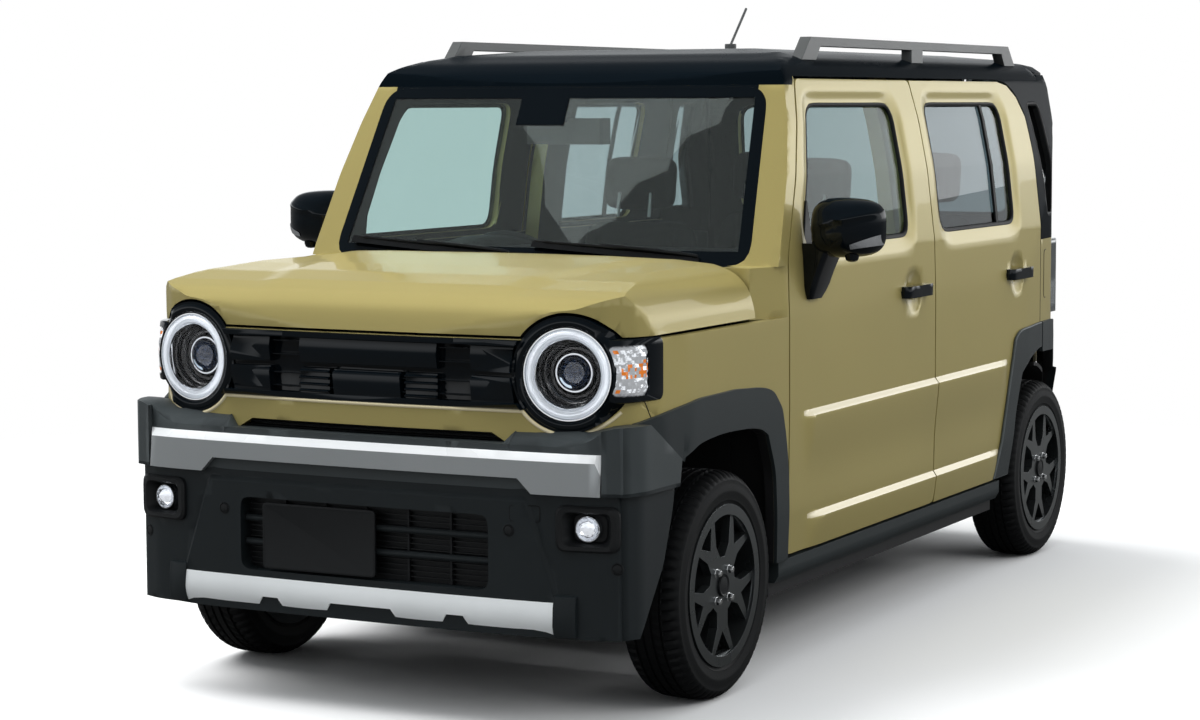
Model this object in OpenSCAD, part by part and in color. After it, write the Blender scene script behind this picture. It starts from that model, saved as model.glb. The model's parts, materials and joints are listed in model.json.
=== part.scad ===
/* [Overall] */
// Length over the bumpers
overall_l = 3395; // [3380:1:3420]
// Width over the wheel arch claddings
overall_w = 1475; // [1470:1:1490]
// Width of the painted body sides
body_w = 1454; // [1446:1:1458]
// Front axle to the front of the bumper bar
front_overhang = 560; // [550:1:570]
// Rear axle to the rear of the bumper
rear_overhang = 375; // [368:1:380]
// Height of the roof's crown
roof_h = 1662; // [1655:1:1672]
// Height of the belt line under the windows
belt_h = 1090; // [1085:1:1096]

/* [Nose] */
// Front axle to the front of the painted nose
nose_fwd = 520; // [515:1:525]
// Height of the bonnet's crown at its rear edge
hood_h = 1097; // [1090:1:1102]
// Height of the bonnet's lower shut line
hood_line_h = 945; // [940:1:950]
// Front axle to the bonnet's rear edge, behind
hood_rear_aft = 232; // [225:1:236]
// Height of the bottom edge of the painted nose
nose_bottom_h = 690; // [685:1:695]
// Half width of the grille between the lamps
grille_half_w = 440; // [430:1:450]
// Half distance between the headlamp centres
lamp_y = 542; // [535:1:550]
// Height of the headlamp centres
lamp_h = 857; // [850:1:862]
// Radius of a headlamp
lamp_r = 112; // [105:1:116]
// Outer radius of a headlamp bezel
bezel_r = 140; // [134:1:144]

/* [Cabin] */
// Front axle to the windscreen's foot, behind
cowl_aft = 285; // [280:1:290]
// Height of the windscreen's foot
cowl_h = 1085; // [1080:1:1090]
// Front axle to the windscreen's head, behind
header_aft = 520; // [512:1:528]
// Windscreen's head below the roof's crown
header_drop = 110; // [106:1:114]
// How far the windscreen's centre bulges past its sides
screen_bulge = 50; // [40:1:55]
// Door tops below the roof's crown
door_top_drop = 100; // [96:1:103]
// Front axle to the front door's leading edge, behind
door_front_aft = 402; // [398:1:406]
// Split between the doors ahead of the rear axle
split_lead = 985; // [975:1:995]
// Rear door's trailing edge ahead of the rear axle
rear_door_lead = 5; // [0:1:12]
// Height of the lower edge of the black rear pillars
rear_pillar_low_h = 1046; // [1040:1:1055]
// Rear axle to the roof's rear edge, behind
roof_rear_back = 229; // [224:1:232]

/* [Panels] */
// Gap at every shut line
shut_gap = 7; // [6.5:0.5:8]
// Thickness of the doors below the belt
door_t = 60; // [56:1:62]
// Thickness of the door frames round the windows
frame_t = 40; // [36:1:44]
// Thickness of the fenders and quarter panels
wing_t = 25; // [22:1:28]
// Thickness of the roof
roof_t = 35; // [32:1:38]
// Thickness of the pillars
pillar_t = 45; // [40:1:48]
// Thickness of the tailgate
gate_t = 40; // [37:1:42]
// Thickness of the glass
glass_t = 5; // [4:0.5:6]
// Thickness of the bumper shells
bumper_t = 35; // [32:1:38]
// How far the bumper bars stand proud
bar_t = 15; // [12:1:18]
// How far the claddings stand proud of the body
cladding_t = 10; // [8:1:10.5]

/* [Wheels] */
// Distance between the front wheel centre planes
track_front = 1295; // [1285:1:1300]
// Distance between the rear wheel centre planes
track_rear = 1300; // [1290:1:1305]
// Tyre diameter
tyre_d = 579; // [572:1:582]
// Tyre section width
tyre_w = 165; // [160:1:168]
// Bead seat diameter
bead_d = 381; // [376:1:384]
// Number of forked spokes
spokes = 5; // [4:1:7]
// Height of the wheel arches' inner edges
arch_h = 678; // [672:1:684]
// Half width of the wheel arches at hub height
arch_half_w = 325; // [322:1:330]

/* [Hinges] */
// Radius of every hinge pin
pin_r = 5; // [4.5:0.5:6]
// Running clearance at a pin or spindle
run_clear = 0.05; // [0.03:0.01:0.08]
// Door hinge axis behind the door's leading edge
hinge_back = 50; // [46:1:54]
// Door hinge axis inside the widest point of the skin
hinge_in = 14; // [12:1:15]
// Radius of the wheel spindles
spindle_r = 18; // [16:1:20]

/* [Hidden] */
$fn = 48;

// Overrun of every cut
over = 20;
// Steps in a rounded outline corner
corner_steps = 4;
// Clearance between round fixed pieces
seat_gap = 0.3;
// Play beside a pin or barrel
side_play = 2;
wheelbase = overall_l - front_overhang - rear_overhang;
half_w = overall_w / 2;
body_half_w = body_w / 2;
header_h = roof_h - header_drop;
door_top_h = roof_h - door_top_drop;
door_split_aft = wheelbase - split_lead;
roof_rear_aft = wheelbase + roof_rear_back;
front_axle_x = overall_l / 2 - front_overhang;
rear_axle_x = front_axle_x - wheelbase;
hub_h = tyre_d / 2;
rear_end_x = -overall_l / 2;
function aft(d) = front_axle_x - d;
function back(d) = rear_axle_x - d;

// Outline helpers: unit vector, mirrored half, inset and rounded corners
function unit(v) = v / norm(v);
function reversed(p) = [for (i = [len(p) - 1:-1:0]) p[i]];
function whole_section(p) = concat(p, [for (q = reversed(p)) [-q[0], q[1]]]);
function whole_plan(p) = concat(p, [for (q = reversed(p)) [q[0], -q[1]]]);
function left_of(v) = [-v[1], v[0]];
function inset(p, t) = let (n = len(p)) [for (i = [0:n - 1])
    let (a = left_of(unit(p[i] - p[(i + n - 1) % n])), b = left_of(unit(p[(i + 1) % n] - p[i])))
    p[i] + (a + b) * t / (1 + a * b)];
function bend(a, b, c, s) = a * (1 - s) * (1 - s) + b * 2 * s * (1 - s) + c * s * s;
function rounded(p, r) = let (n = len(p)) [for (i = [0:n - 1])
    let (b = p[i], a = p[(i + n - 1) % n] - b, c = p[(i + 1) % n] - b,
        d = min(r, norm(a) / 2, norm(c) / 2))
    for (k = [0:corner_steps]) bend(b + unit(a) * d, b, b + unit(c) * d, k / corner_steps)];
function box_pts(x0, x1, z0, z1) = [[x0, z0], [x1, z0], [x1, z1], [x0, z1]];
function shared(p, x0, z0, dx, dz) = [for (q = p) [x0 + q[0] * dx, z0 + q[1] * dz]];

module front_prism(x0, x1) translate([x0, 0, 0]) rotate([90, 0, 90]) linear_extrude(x1 - x0) children();
module side_prism(y0, y1) translate([0, y1, 0]) rotate([90, 0, 0]) linear_extrude(y1 - y0) children();
module plan_prism(z0, z1) translate([0, 0, z0]) linear_extrude(z1 - z0) children();
module both_sides() {
    children();
    mirror([0, 1, 0]) children();
}
module side_of(s) if (s > 0) children(); else mirror([0, 1, 0]) children();
module box(x0, x1, y0, y1, z0, z1) translate([x0, y0, z0]) cube([x1 - x0, y1 - y0, z1 - z0]);
module rod(a, b, r) let (v = b - a, l = norm(v))
    translate(a) rotate([0, acos(v[2] / l), atan2(v[1], v[0])]) cylinder(r = r, h = l);
module across(x, z, y0, y1, r) translate([x, y0, z]) rotate([-90, 0, 0]) cylinder(r = r, h = y1 - y0);

// Front view section of the body side, shares of half width and of belt height
low_section_shares = [[0.9, 0.15], [0.965, 0.21], [0.985, 0.276], [0.996, 0.39], [1, 0.64], [0.999,
    0.855],
    [0.993, 1]];
// The same above the belt, shares of half width and of the height from belt to roof
high_section_shares = [[0.959, 0.367], [0.919, 0.62], [0.872, 0.825], [0.842, 0.878], [0.79, 0.923],
    [0.7, 0.956], [0.55, 0.977], [0.344, 0.991], [0.1, 1]];
half_section = concat(shared(low_section_shares, 0, 0, body_half_w, belt_h),
    shared(high_section_shares, 0, belt_h, body_half_w, roof_h - belt_h));
section = whole_section(half_section);
low_count = len(low_section_shares);
function slab(t0, t1, u0, u1) = concat(
    [for (i = [0:low_count - 1]) half_section[i] - [t0, 0]],
    [for (i = [low_count - 1:len(half_section) - 1]) half_section[i] - [t1, 0]],
    [for (i = [len(half_section) - 1:-1:low_count - 1]) half_section[i] - [u1, 0]],
    [for (i = [low_count - 1:-1:0]) half_section[i] - [u0, 0]]);

// Plan of the body: shares of the corner's depth and of half width
front_corner_l = 320;
rear_corner_l = 515;
tail_inset = 20;
tail_x = rear_end_x + tail_inset;
front_plan_shares = [[1, 0.12], [0.98, 0.34], [0.947, 0.59], [0.887, 0.77], [0.797, 0.867], [0.656,
    0.935],
    [0.406, 0.979], [0, 1]];
rear_plan_shares = [[0, 1], [0.29, 0.993], [0.615, 0.968], [0.81, 0.924], [0.923, 0.853], [0.967, 0.715],
    [0.99, 0.413], [1, 0.1]];
plan = whole_plan(concat(
    shared(front_plan_shares, aft(front_corner_l - nose_fwd), 0, front_corner_l, body_half_w),
    shared(rear_plan_shares, tail_x + rear_corner_l, 0, -rear_corner_l, body_half_w)));

// Side view of roof and tail: shares along the roof and of its rise, then of the tail's lean and height
spoiler_back = 315;
spoiler_aft = wheelbase + spoiler_back;
tail_lean = 63;
roof_shares = [[1, 0.565], [0.967, 0.68], [0.922, 0.78], [0.834, 0.89], [0.7, 0.973], [0.523, 1],
    [0.39, 0.99],
    [0.213, 0.91], [0.115, 0.745], [0.053, 0.5], [0.018, 0.24], [0, 0]];
tail_shares = [[0.6, 0.1], [0.95, 0.18], [1, 0.337], [0.95, 0.493], [0.71, 0.656], [0.16, 0.89], [0,
    0.939]];
spoiler_low_share = 0.956;
roof_pts = reversed(shared(roof_shares, aft(header_aft), header_h, header_aft - spoiler_aft,
    header_drop));
tail_pts = reversed(shared(tail_shares, tail_x + tail_lean, 0, -tail_lean, roof_h));
front_pts = [[aft(-nose_fwd) + over, tail_shares[0][1] * roof_h], [aft(-nose_fwd) + over, header_h]];
profile = concat(front_pts, roof_pts, [[aft(spoiler_aft), spoiler_low_share * roof_h]], tail_pts);
inner_profile = concat(front_pts, [for (i = [0:len(roof_pts) - 2]) roof_pts[i]], tail_pts);

// Windscreen: a barrel face raked back
rake = atan((header_aft - cowl_aft) / (header_h - cowl_h));
screen_steps = 6;
screen_half_w = body_half_w;
function screen_pts(t) = concat(
    [for (i = [-screen_steps:screen_steps]) let (s = i / screen_steps) [-t - screen_bulge * s * s,
        s * screen_half_w]],
    [[-overall_l, screen_half_w], [-overall_l, -screen_half_w]]);
module screen_solid(t) translate([aft(cowl_aft), 0, cowl_h]) rotate([0, -rake, 0])
    translate([0, 0, -cowl_h]) linear_extrude(cowl_h + roof_h) polygon(screen_pts(t));
module shell_core(t) intersection() {
    front_prism(rear_end_x - over, overall_l / 2) polygon(inset(section, t));
    plan_prism(0, roof_h + over) polygon(inset(plan, t));
    side_prism(-overall_w, overall_w) polygon(t > 0 ? inset(inner_profile, t) : inset(profile, t));
}
module cabin_solid(t) intersection() {
    shell_core(t);
    screen_solid(t);
}
module skin(t0, t1) difference() {
    shell_core(t0);
    shell_core(t1);
}
module cabin_skin(t) difference() {
    cabin_solid(0);
    cabin_solid(t);
}

// Wheel arches: shares of half width and height, from the front leg to the rear
front_arch_shares = [[1.02, 0.3], [0.96, 0.62], [0.78, 0.94], [0.49, 0.985], [0.1, 1], [-0.37, 0.993],
    [-0.6, 0.98], [-0.75, 0.95], [-0.9, 0.8], [-0.985, 0.45], [-1, 0.3]];
rear_arch_shares = [[1.06, 0.3], [0.81, 0.74], [0.65, 0.9], [0.4, 0.96], [0.1, 1], [-0.52, 0.99],
    [-0.82, 0.86],
    [-0.98, 0.6], [-1.02, 0.3]];
front_flare_shares = [[1.4, 0.9], [1.27, 1.09], [0.97, 1.12], [0.49, 1.147], [-0.17, 1.15], [-0.68,
    1.134],
    [-0.87, 1.106], [-1.02, 1.037], [-1.1, 0.928], [-1.16, 0.79], [-1.21, 0.42]];
rear_flare_shares = [[1.43, 0.42], [1.24, 0.6], [0.86, 1.09], [0.72, 1.13], [0.14, 1.145], [-0.49, 1.14],
    [-0.7, 1.1], [-0.89, 0.945], [-1.1, 0.42]];
function arch_pts(p, x) = concat(shared(p, x, 0, arch_half_w, arch_h),
    [[x + p[len(p) - 1][0] * arch_half_w, 0], [x + p[0][0] * arch_half_w, 0]]);
front_arch = arch_pts(front_arch_shares, front_axle_x);
rear_arch = arch_pts(rear_arch_shares, rear_axle_x);
front_flare = arch_pts(front_flare_shares, front_axle_x);
rear_flare = arch_pts(rear_flare_shares, rear_axle_x);

// Doors and windows in side view
sill_h = 296;
door_low_h = sill_h + shut_gap + side_play;
pillar_top_aft = 640;
rear_door_x = rear_axle_x + rear_door_lead;
door_r = 45;
door_lip = 14;
module front_door_outline(g) polygon(rounded([
    [aft(door_split_aft) + shut_gap / 2 - g, door_low_h - g], [aft(door_front_aft) + g, door_low_h - g],
    [aft(door_front_aft) + g, belt_h], [aft(pillar_top_aft) + g, door_top_h + g],
    [aft(door_split_aft) + shut_gap / 2 - g, door_top_h + g]], door_r / 2));
door_crown_l = 200;
module rear_door_outline(g) difference() {
    polygon(rounded([[rear_door_x - g, door_low_h - g], [aft(door_split_aft) - shut_gap / 2 + g,
        door_low_h - g],
        [aft(door_split_aft) - shut_gap / 2 + g, door_top_h + g],
        [rear_door_x - g, door_top_h + g]], door_crown_l));
    translate([0, door_lip - g]) polygon(rear_arch);
}
module rear_door_square(g) difference() {
    polygon(box_pts(rear_door_x - g, aft(door_split_aft) - shut_gap / 2 + g, door_low_h - g, belt_h));
    translate([0, door_lip - g]) polygon(rear_arch);
}
window_top_drop = 165;
window_top_h = roof_h - window_top_drop;
window_low_h = 1107;
front_window_aft = 520;
front_window_top_aft = 680;
front_window_end = 170;
front_window_end_aft = door_split_aft - front_window_end;
rear_window_start = 85;
rear_window_aft = door_split_aft + rear_window_start;
rear_window_lead = 225;
window_r = 60;
module front_window() polygon(rounded([[aft(front_window_end_aft), window_low_h],
    [aft(front_window_aft), window_low_h], [aft(front_window_top_aft), window_top_h],
    [aft(front_window_end_aft), window_top_h]], window_r));
module rear_window() polygon(rounded(box_pts(rear_axle_x + rear_window_lead, aft(rear_window_aft),
    window_low_h, window_top_h), window_r));
quarter_fwd = 25;
quarter_back = 150;
quarter_lean = 60;
quarter_low_h = 1120;
module quarter_window() polygon(rounded([[back(quarter_back + quarter_lean), quarter_low_h],
    [back(quarter_fwd + quarter_lean), quarter_low_h], [back(quarter_fwd), window_top_h],
    [back(quarter_back), window_top_h]], window_r / 2));

// Windscreen outline in front view
screen_low_drop = 13;
screen_low_h = cowl_h - screen_low_drop;
screen_top_drop = 12;
screen_top_h = header_h - screen_top_drop;
screen_low_y = 644;
screen_top_y = 596;
module screen_outline() polygon(rounded([[-screen_low_y, screen_low_h], [screen_low_y, screen_low_h],
    [screen_top_y, screen_top_h], [-screen_top_y, screen_top_h]], window_r));

// Hinge pillars and the space that a door's inner corner sweeps
pillar_clear = 35;
post_out = door_t + pillar_clear;
post_in = post_out + pillar_t;
post_y = body_half_w - post_out;
hinge_y = body_half_w - hinge_in;
hinge_hs = [470, 850];
pocket_h = 50;
barrel_r = 8;
pin_grip = 15;
arm_t = 10;
hinge_xs = [aft(door_front_aft + hinge_back), aft(door_split_aft) - shut_gap / 2 - hinge_back];

// Floor, rails and rear floor
floor_low_h = 225;
floor_t = 25;
floor_half_w = 528;
rocker_low_h = 200;
rocker_out_y = 690;
fire_aft = 345;
fire_t = 15;
cowl_top_drop = 55;
cowl_top_h = cowl_h - cowl_top_drop;
rocker_end_lead = 390;
rear_floor_lead = 380;
rear_floor_h = 430;
rail_in_y = 330;
rail_out_y = 390;
rail_low_h = 312;
rail_top_h = 420;
rail_fwd = 440;
apron_top_h = 880;
apron_t = 12;
tower_half_l = 90;
beam_low_h = 540;
beam_top_h = 640;
beam_half_w = 480;
house_r = 350;
house_t = 12;
house_low_h = 250;
pad_l = 60;
pad_w = 40;
pad_t = 6;
pad_front_aft = 520;
pad_rear_lead = 580;
pad_afts = [pad_front_aft, wheelbase - pad_rear_lead];
rear_beam_l = 80;
rear_beam_top_h = 600;
module floor_pan() color("dimgray") {
    box(aft(rear_floor_lead_aft), aft(fire_aft), -floor_half_w, floor_half_w, floor_low_h,
        floor_low_h + floor_t);
    both_sides() box(rear_axle_x + rocker_end_lead, aft(fire_aft), floor_half_w, rocker_out_y,
        rocker_low_h, sill_h);
    both_sides() for (d = pad_afts)
        box(aft(d + pad_l), aft(d), rocker_out_y - 2 * pad_w, rocker_out_y - pad_w,
            rocker_low_h - pad_t, rocker_low_h);
    box(aft(rear_floor_lead_aft), aft(rear_floor_lead_aft) + floor_t, -floor_half_w, floor_half_w,
        floor_low_h,
        rear_floor_h + floor_t);
    box(tail_x + rear_beam_l, aft(rear_floor_lead_aft) + floor_t, -floor_half_w, floor_half_w,
        rear_floor_h,
        rear_floor_h + floor_t);
    intersection() {
        box(tail_x, tail_x + rear_beam_l, -floor_half_w, floor_half_w, rear_floor_h, rear_beam_top_h);
        shell_core(bumper_inner);
    }
    box(aft(fire_aft), aft(fire_aft - fire_t), -post_y + pillar_t, post_y - pillar_t, floor_low_h,
        cowl_top_h);
    both_sides() {
        box(aft(fire_aft - fire_t), aft(-rail_fwd), rail_in_y, rail_out_y, rail_low_h, rail_top_h);
        box(aft(fire_aft - fire_t), aft(-rail_fwd), rail_out_y - apron_t, rail_out_y, rail_top_h,
            apron_top_h);
        box(aft(-rail_fwd), aft(-rail_fwd) + pillar_t, rail_in_y, rail_out_y, rail_low_h, beam_top_h);
        intersection() {
            box(aft(tower_half_l), aft(-tower_half_l), rail_out_y - apron_t, body_half_w,
                apron_top_h - apron_t,
                apron_top_h);
            shell_core(wing_t);
        }
        wheel_house();
    }
    intersection() {
        box(aft(-rail_fwd), overall_l / 2, -beam_half_w, beam_half_w, beam_low_h, beam_top_h);
        plan_prism(0, roof_h) polygon(inset(bumper_plan, bumper_t));
    }
}
rear_floor_lead_aft = wheelbase - rear_floor_lead;
module wheel_house() {
    difference() {
        intersection() {
            across(rear_axle_x, hub_h, floor_half_w, body_half_w, house_r);
            shell_core(wing_t);
            box(back(house_r), rear_axle_x + house_r, 0, body_half_w, house_low_h, hub_h + house_r);
        }
        across(rear_axle_x, hub_h, floor_half_w + house_t, body_half_w, house_r - house_t);
        box(rear_door_x - shut_gap - over, rear_axle_x + house_r, post_y, body_half_w + over, 0, roof_h);
        box(back(house_t + pillar_t), rear_axle_x + house_t + pillar_t, 0, body_half_w, 0,
            hub_h + house_t + pillar_t);
    }
}

// Pillars: hinge post with cowl side and windscreen pillar, then the centre post
post_front_aft = 340;
cowl_side_y = 600;
split_post_front = 75;
split_post_rear = 73;
split_front_aft = door_split_aft - split_post_front;
split_rear_aft = door_split_aft + split_post_rear;
roof_line_h = door_top_h + shut_gap;
roof_front_drop = 7;
roof_front_h = header_h - roof_front_drop;
roof_step_aft = 610;
nose_top_h = hood_line_h - shut_gap;
module pillar_region() polygon([[aft(door_front_aft - shut_gap), nose_top_h],
    [aft(hood_rear_aft + shut_gap), nose_top_h], [aft(hood_rear_aft + shut_gap), cowl_h],
        [aft(hood_rear_aft), roof_front_h],
    [aft(roof_step_aft), roof_front_h], [aft(pillar_top_aft - shut_gap), roof_line_h],
    [aft(door_front_aft - shut_gap), belt_h]]);
cowl_side_cut_share = 0.93;
module pillars() color("darkkhaki") both_sides() {
    difference() {
        intersection() {
            cabin_skin(pillar_t);
            side_prism(0, half_w) pillar_region();
        }
        front_prism(aft(pillar_top_aft), aft(0)) screen_outline();
        box(aft(door_front_aft), aft(0), -over, body_half_w + over, 0, screen_low_h);
    }
    difference() {
        intersection() {
            shell_core(0);
            box(aft(door_front_aft - shut_gap), aft(hood_rear_aft + shut_gap), cowl_side_y, half_w,
                nose_top_h, screen_low_h);
        }
        plan_prism(nose_top_h - over, roof_h) polygon([[aft(hood_rear_aft) + over,
            body_half_w * cowl_side_cut_share],
            [aft(hood_rear_aft) + over, half_w], [aft(door_front_aft - shut_gap), half_w],
            [aft(door_front_aft - shut_gap), body_half_w]]);
    }
    intersection() {
        plan_prism(sill_h, nose_top_h) polygon([[aft(post_front_aft), post_y - pillar_t],
            [aft(post_front_aft), half_w],
            [aft(door_front_aft - shut_gap), half_w], [aft(door_front_aft - shut_gap), post_y],
            [aft(door_front_aft + hinge_back + pillar_t), post_y],
            [aft(door_front_aft + hinge_back + pillar_t), post_y - pillar_t]]);
        shell_core(wing_t);
    }
    intersection() {
        front_prism(aft(split_rear_aft), aft(split_front_aft)) polygon(slab(post_out, post_out,
            post_in, post_in));
        cabin_solid(roof_t);
        box(aft(split_rear_aft), aft(split_front_aft), 0, half_w, sill_h, roof_h);
    }
}

// Fenders with the arch cut out, split from the nose along a slanting seam
fender_low_h = sill_h;
// Seam stations: shares of the nose's length and of its height
nose_seam_shares = [[0.481, 0], [0.623, 0.19], [0.775, 0.423], [0.904, 0.565], [1, 1]];
nose_seam = shared(nose_seam_shares, aft(0), nose_bottom_h, nose_fwd, nose_top_h - nose_bottom_h);
module fender_region() difference() {
    polygon(concat([[aft(door_front_aft - shut_gap), fender_low_h], [aft(0), fender_low_h]], nose_seam,
        [[aft(hood_rear_aft + shut_gap), nose_top_h], [aft(door_front_aft - shut_gap), nose_top_h]]));
    polygon(front_arch);
}
module front_fenders() color("darkkhaki") both_sides() difference() {
    intersection() {
        skin(0, wing_t);
        side_prism(0, half_w) fender_region();
    }
    front_prism(aft(-pod_back_fwd), overall_l) grille_outline(0);
}
module nose_region() polygon(concat([[aft(-nose_fwd) + over, nose_bottom_h], [aft(-nose_fwd) + over,
    nose_top_h]],
    reversed(nose_seam)));
slot_half_w = 385;
slot_t = 22;
slot_lean = 38;
nose_t = 30;
module nose_panel() color("darkkhaki") difference() {
    intersection() {
        skin(0, nose_t);
        side_prism(-half_w, half_w) nose_region();
    }
    front_prism(aft(-pod_back_fwd), overall_l) grille_outline(0);
    front_prism(aft(0), overall_l) polygon([[-slot_half_w, nose_bottom_h - over], [slot_half_w,
        nose_bottom_h - over],
        [slot_half_w, nose_bottom_h], [slot_half_w - slot_lean, nose_bottom_h + slot_t],
        [slot_lean - slot_half_w, nose_bottom_h + slot_t], [-slot_half_w, nose_bottom_h]]);
}

// Grille band with round lamp bezels and side pods
pod_back_fwd = 350;
pod_in_y = 560;
pod_out_y = 745;
pod_low_drop = 64;
pod_low_h = lamp_h - pod_low_drop;
pod_r = 40;
grille_low_drop = 87;
grille_low_h = lamp_h - grille_low_drop;
grille_top_drop = 9;
grille_top_h = hood_line_h - grille_top_drop;
grille_t = 55;
grille_proud = 3;
bezel_fwd = 487;
bezel_l = 90;
turn_in_y = 655;
turn_out_y = 692;
turn_tall = 118;
turn_low_drop = 49;
turn_low_h = lamp_h - turn_low_drop;
turn_top_h = turn_low_h + turn_tall;
module grille_outline(g) {
    polygon(box_pts(-lamp_y, lamp_y, grille_low_h - g, grille_top_h + g));
    for (s = [-1, 1]) {
        translate([s * lamp_y, lamp_h]) circle(r = bezel_r + g);
        mirror([s < 0 ? 1 : 0, 0]) polygon(rounded(box_pts(pod_in_y, pod_out_y, pod_low_h - g,
            grille_top_h + g), pod_r));
    }
}
module turn_outline() polygon(rounded(box_pts(turn_in_y, turn_out_y, turn_low_h, turn_top_h), pod_r / 2));
// Grille rows as shares of the grille's height, then blocks: low and high share of the half width, row
grille_row_shares = [[0.06, 0.458], [0.53, 0.94]];
grille_block_shares = [[-0.22, 0.22, 0], [-0.45, -0.25, 0], [0.25, 0.45, 0], [-0.92, -0.66, 0], [0.66,
    0.92, 0],
    [-0.45, 0.45, 1], [-0.92, -0.66, 1], [0.66, 0.92, 1]];
grille_edge = 14;
grille_recess = 26;
grille_back_t = 8;
block_proud = 6;
module lamp_discs(r) for (s = [-1, 1]) translate([s * lamp_y, lamp_h]) circle(r = r);
module grille_field() difference() {
    polygon(box_pts(-grille_half_w, grille_half_w, grille_low_h + grille_edge,
        grille_top_h - grille_edge));
    lamp_discs(bezel_r);
}
module turn_window() difference() {
    turn_outline();
    lamp_discs(bezel_r);
}
module turn_windows() {
    turn_window();
    mirror([1, 0]) turn_window();
}
module grille() color([0.03, 0.03, 0.04]) {
    intersection() {
        skin(-grille_proud, grille_recess);
        front_prism(aft(-pod_back_fwd), overall_l) difference() {
            grille_outline(0);
            grille_field();
            turn_windows();
            lamp_discs(bezel_r);
        }
    }
    intersection() {
        skin(grille_recess, grille_recess + grille_back_t);
        front_prism(aft(-pod_back_fwd), overall_l) difference() {
            grille_outline(0);
            turn_windows();
            lamp_discs(bezel_r);
        }
    }
    both_sides() difference() {
        translate([aft(-bezel_fwd + bezel_l), lamp_y, lamp_h]) rotate([0, 90, 0]) cylinder(r = bezel_r,
            h = bezel_l);
        translate([aft(-bezel_fwd + 2 * bezel_l), lamp_y, lamp_h]) rotate([0, 90, 0])
            cylinder(r = lamp_r + seat_gap, h = overall_l);
    }
    for (b = grille_block_shares) let (r = grille_row_shares[b[2]],
        h = grille_top_h - grille_low_h) intersection() {
        skin(block_proud, grille_recess);
        front_prism(aft(-rail_fwd), overall_l) difference() {
            polygon(box_pts(b[0] * grille_half_w, b[1] * grille_half_w, grille_low_h + r[0] * h,
                grille_low_h + r[1] * h));
            lamp_discs(bezel_r);
        }
    }
}

// Lamps: domed headlamps, wrapped turn lamps and square fog lamps
lamp_l = 60;
lamp_dome = 18;
lamp_dome_shares = [[0, 1], [0.36, 0.95], [0.7, 0.7], [0.93, 0.35], [1, 0]];
fog_y = 618;
fog_h = 495;
fog_half_w = 66;
fog_half_h = 52;
fog_r = 28;
fog_recess = 12;
fog_corner_r = 24;
module fog_outline() translate([fog_y, fog_h])
    polygon(rounded(box_pts(-fog_half_w, fog_half_w, -fog_half_h, fog_half_h), fog_corner_r));
module front_lamps() color("aliceblue") both_sides() {
    translate([aft(-bezel_fwd + lamp_l), lamp_y, lamp_h]) rotate([0, 90, 0]) rotate_extrude()
        polygon(concat([[0, 0], [lamp_r, 0]], reversed(shared(lamp_dome_shares, 0, lamp_l, lamp_r,
            lamp_dome))));
    difference() {
        intersection() {
            skin(-2 * grille_proud, grille_t);
            front_prism(aft(-pod_back_fwd), overall_l) turn_outline();
        }
        translate([aft(0), lamp_y, lamp_h]) rotate([0, 90, 0]) cylinder(r = bezel_r + seat_gap,
            h = overall_l);
    }
    intersection() {
        bumper_band(fog_recess, bumper_t);
        front_prism(aft(-bumper_side_fwd), overall_l) fog_outline();
    }
    translate([bumper_x(fog_y), fog_y, fog_h]) rotate([0, 90, 0]) cylinder(r = fog_r, h = fog_recess);
}

// Front bumper: plan shares of depth and half width
bumper_side_fwd = 250;
bumper_fwd = front_overhang - bar_t;
bumper_low_h = 232;
bumper_half_w = half_w - bar_t;
bumper_corner_l = bumper_fwd - bumper_side_fwd;
bumper_plan_shares = [[1, 0.1], [0.994, 0.339], [0.976, 0.583], [0.952, 0.759], [0.914, 0.88], [0.84,
    0.957],
    [0.67, 0.992], [0, 1]];
bumper_plan = whole_plan(concat(
    shared(bumper_plan_shares, aft(-bumper_side_fwd), 0, bumper_corner_l, bumper_half_w),
    [[aft(0), bumper_half_w]]));
// Rear edge in side view: shares of the bumper's reach and of its height
bumper_back_shares = [[0.826, 0], [0.615, 0.349], [0.523, 0.64], [0.486, 0.891], [0.505, 1]];
bumper_back = shared(bumper_back_shares, aft(0), bumper_low_h, bumper_fwd, nose_bottom_h - bumper_low_h);
function bumper_x(y) = aft(-bumper_side_fwd) - bumper_t
    + bumper_corner_l * lookup(y / bumper_half_w, [for (q = bumper_plan_shares) [q[1], q[0]]]);
module bumper_band(t0, t1) plan_prism(0, hood_h) bumper_ring(t0, t1);
intake_half_w = 358;
intake_low_h = 335;
intake_top_h = 518;
intake_r = 30;
module intake_outline(g) polygon(rounded(box_pts(-intake_half_w - g, intake_half_w + g, intake_low_h - g,
    intake_top_h + g), intake_r));
module bumper_ring(t0, t1) difference() {
    polygon(inset(bumper_plan, t0));
    polygon(inset(bumper_plan, t1));
}
cap_gap = 4;
module both_flanks() {
    children();
    mirror([0, 1]) children();
}
module front_bumper() color([0.16, 0.17, 0.18]) difference() {
    intersection() {
        union() {
            plan_prism(bumper_low_h, nose_bottom_h) bumper_ring(0, bumper_t);
            plan_prism(nose_bottom_h - bumper_t, nose_bottom_h) bumper_ring(bumper_t - seat_gap,
                2 * bumper_t);
            plan_prism(bar_low_h, nose_bottom_h) intersection() {
                bumper_ring(-bar_t, bumper_t);
                both_flanks() polygon(box_pts(aft(0), overall_l, bar_half_w + cap_gap, overall_w));
            }
        }
        side_prism(-half_w - over, half_w + over) polygon(concat([[overall_l, bumper_low_h],
            [overall_l, nose_bottom_h]],
            reversed(bumper_back)));
    }
    front_prism(aft(-rail_fwd + over), overall_l) intake_outline(0);
    both_sides() front_prism(aft(-bumper_side_fwd), overall_l) fog_outline();
}
bar_half_w = 650;
bar_low_h = 576;
bar_top_h = 674;
bar_notch_half_w = 476;
bar_notch_h = 36;
skid_half_w = 535;
skid_low_h = 240;
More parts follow.
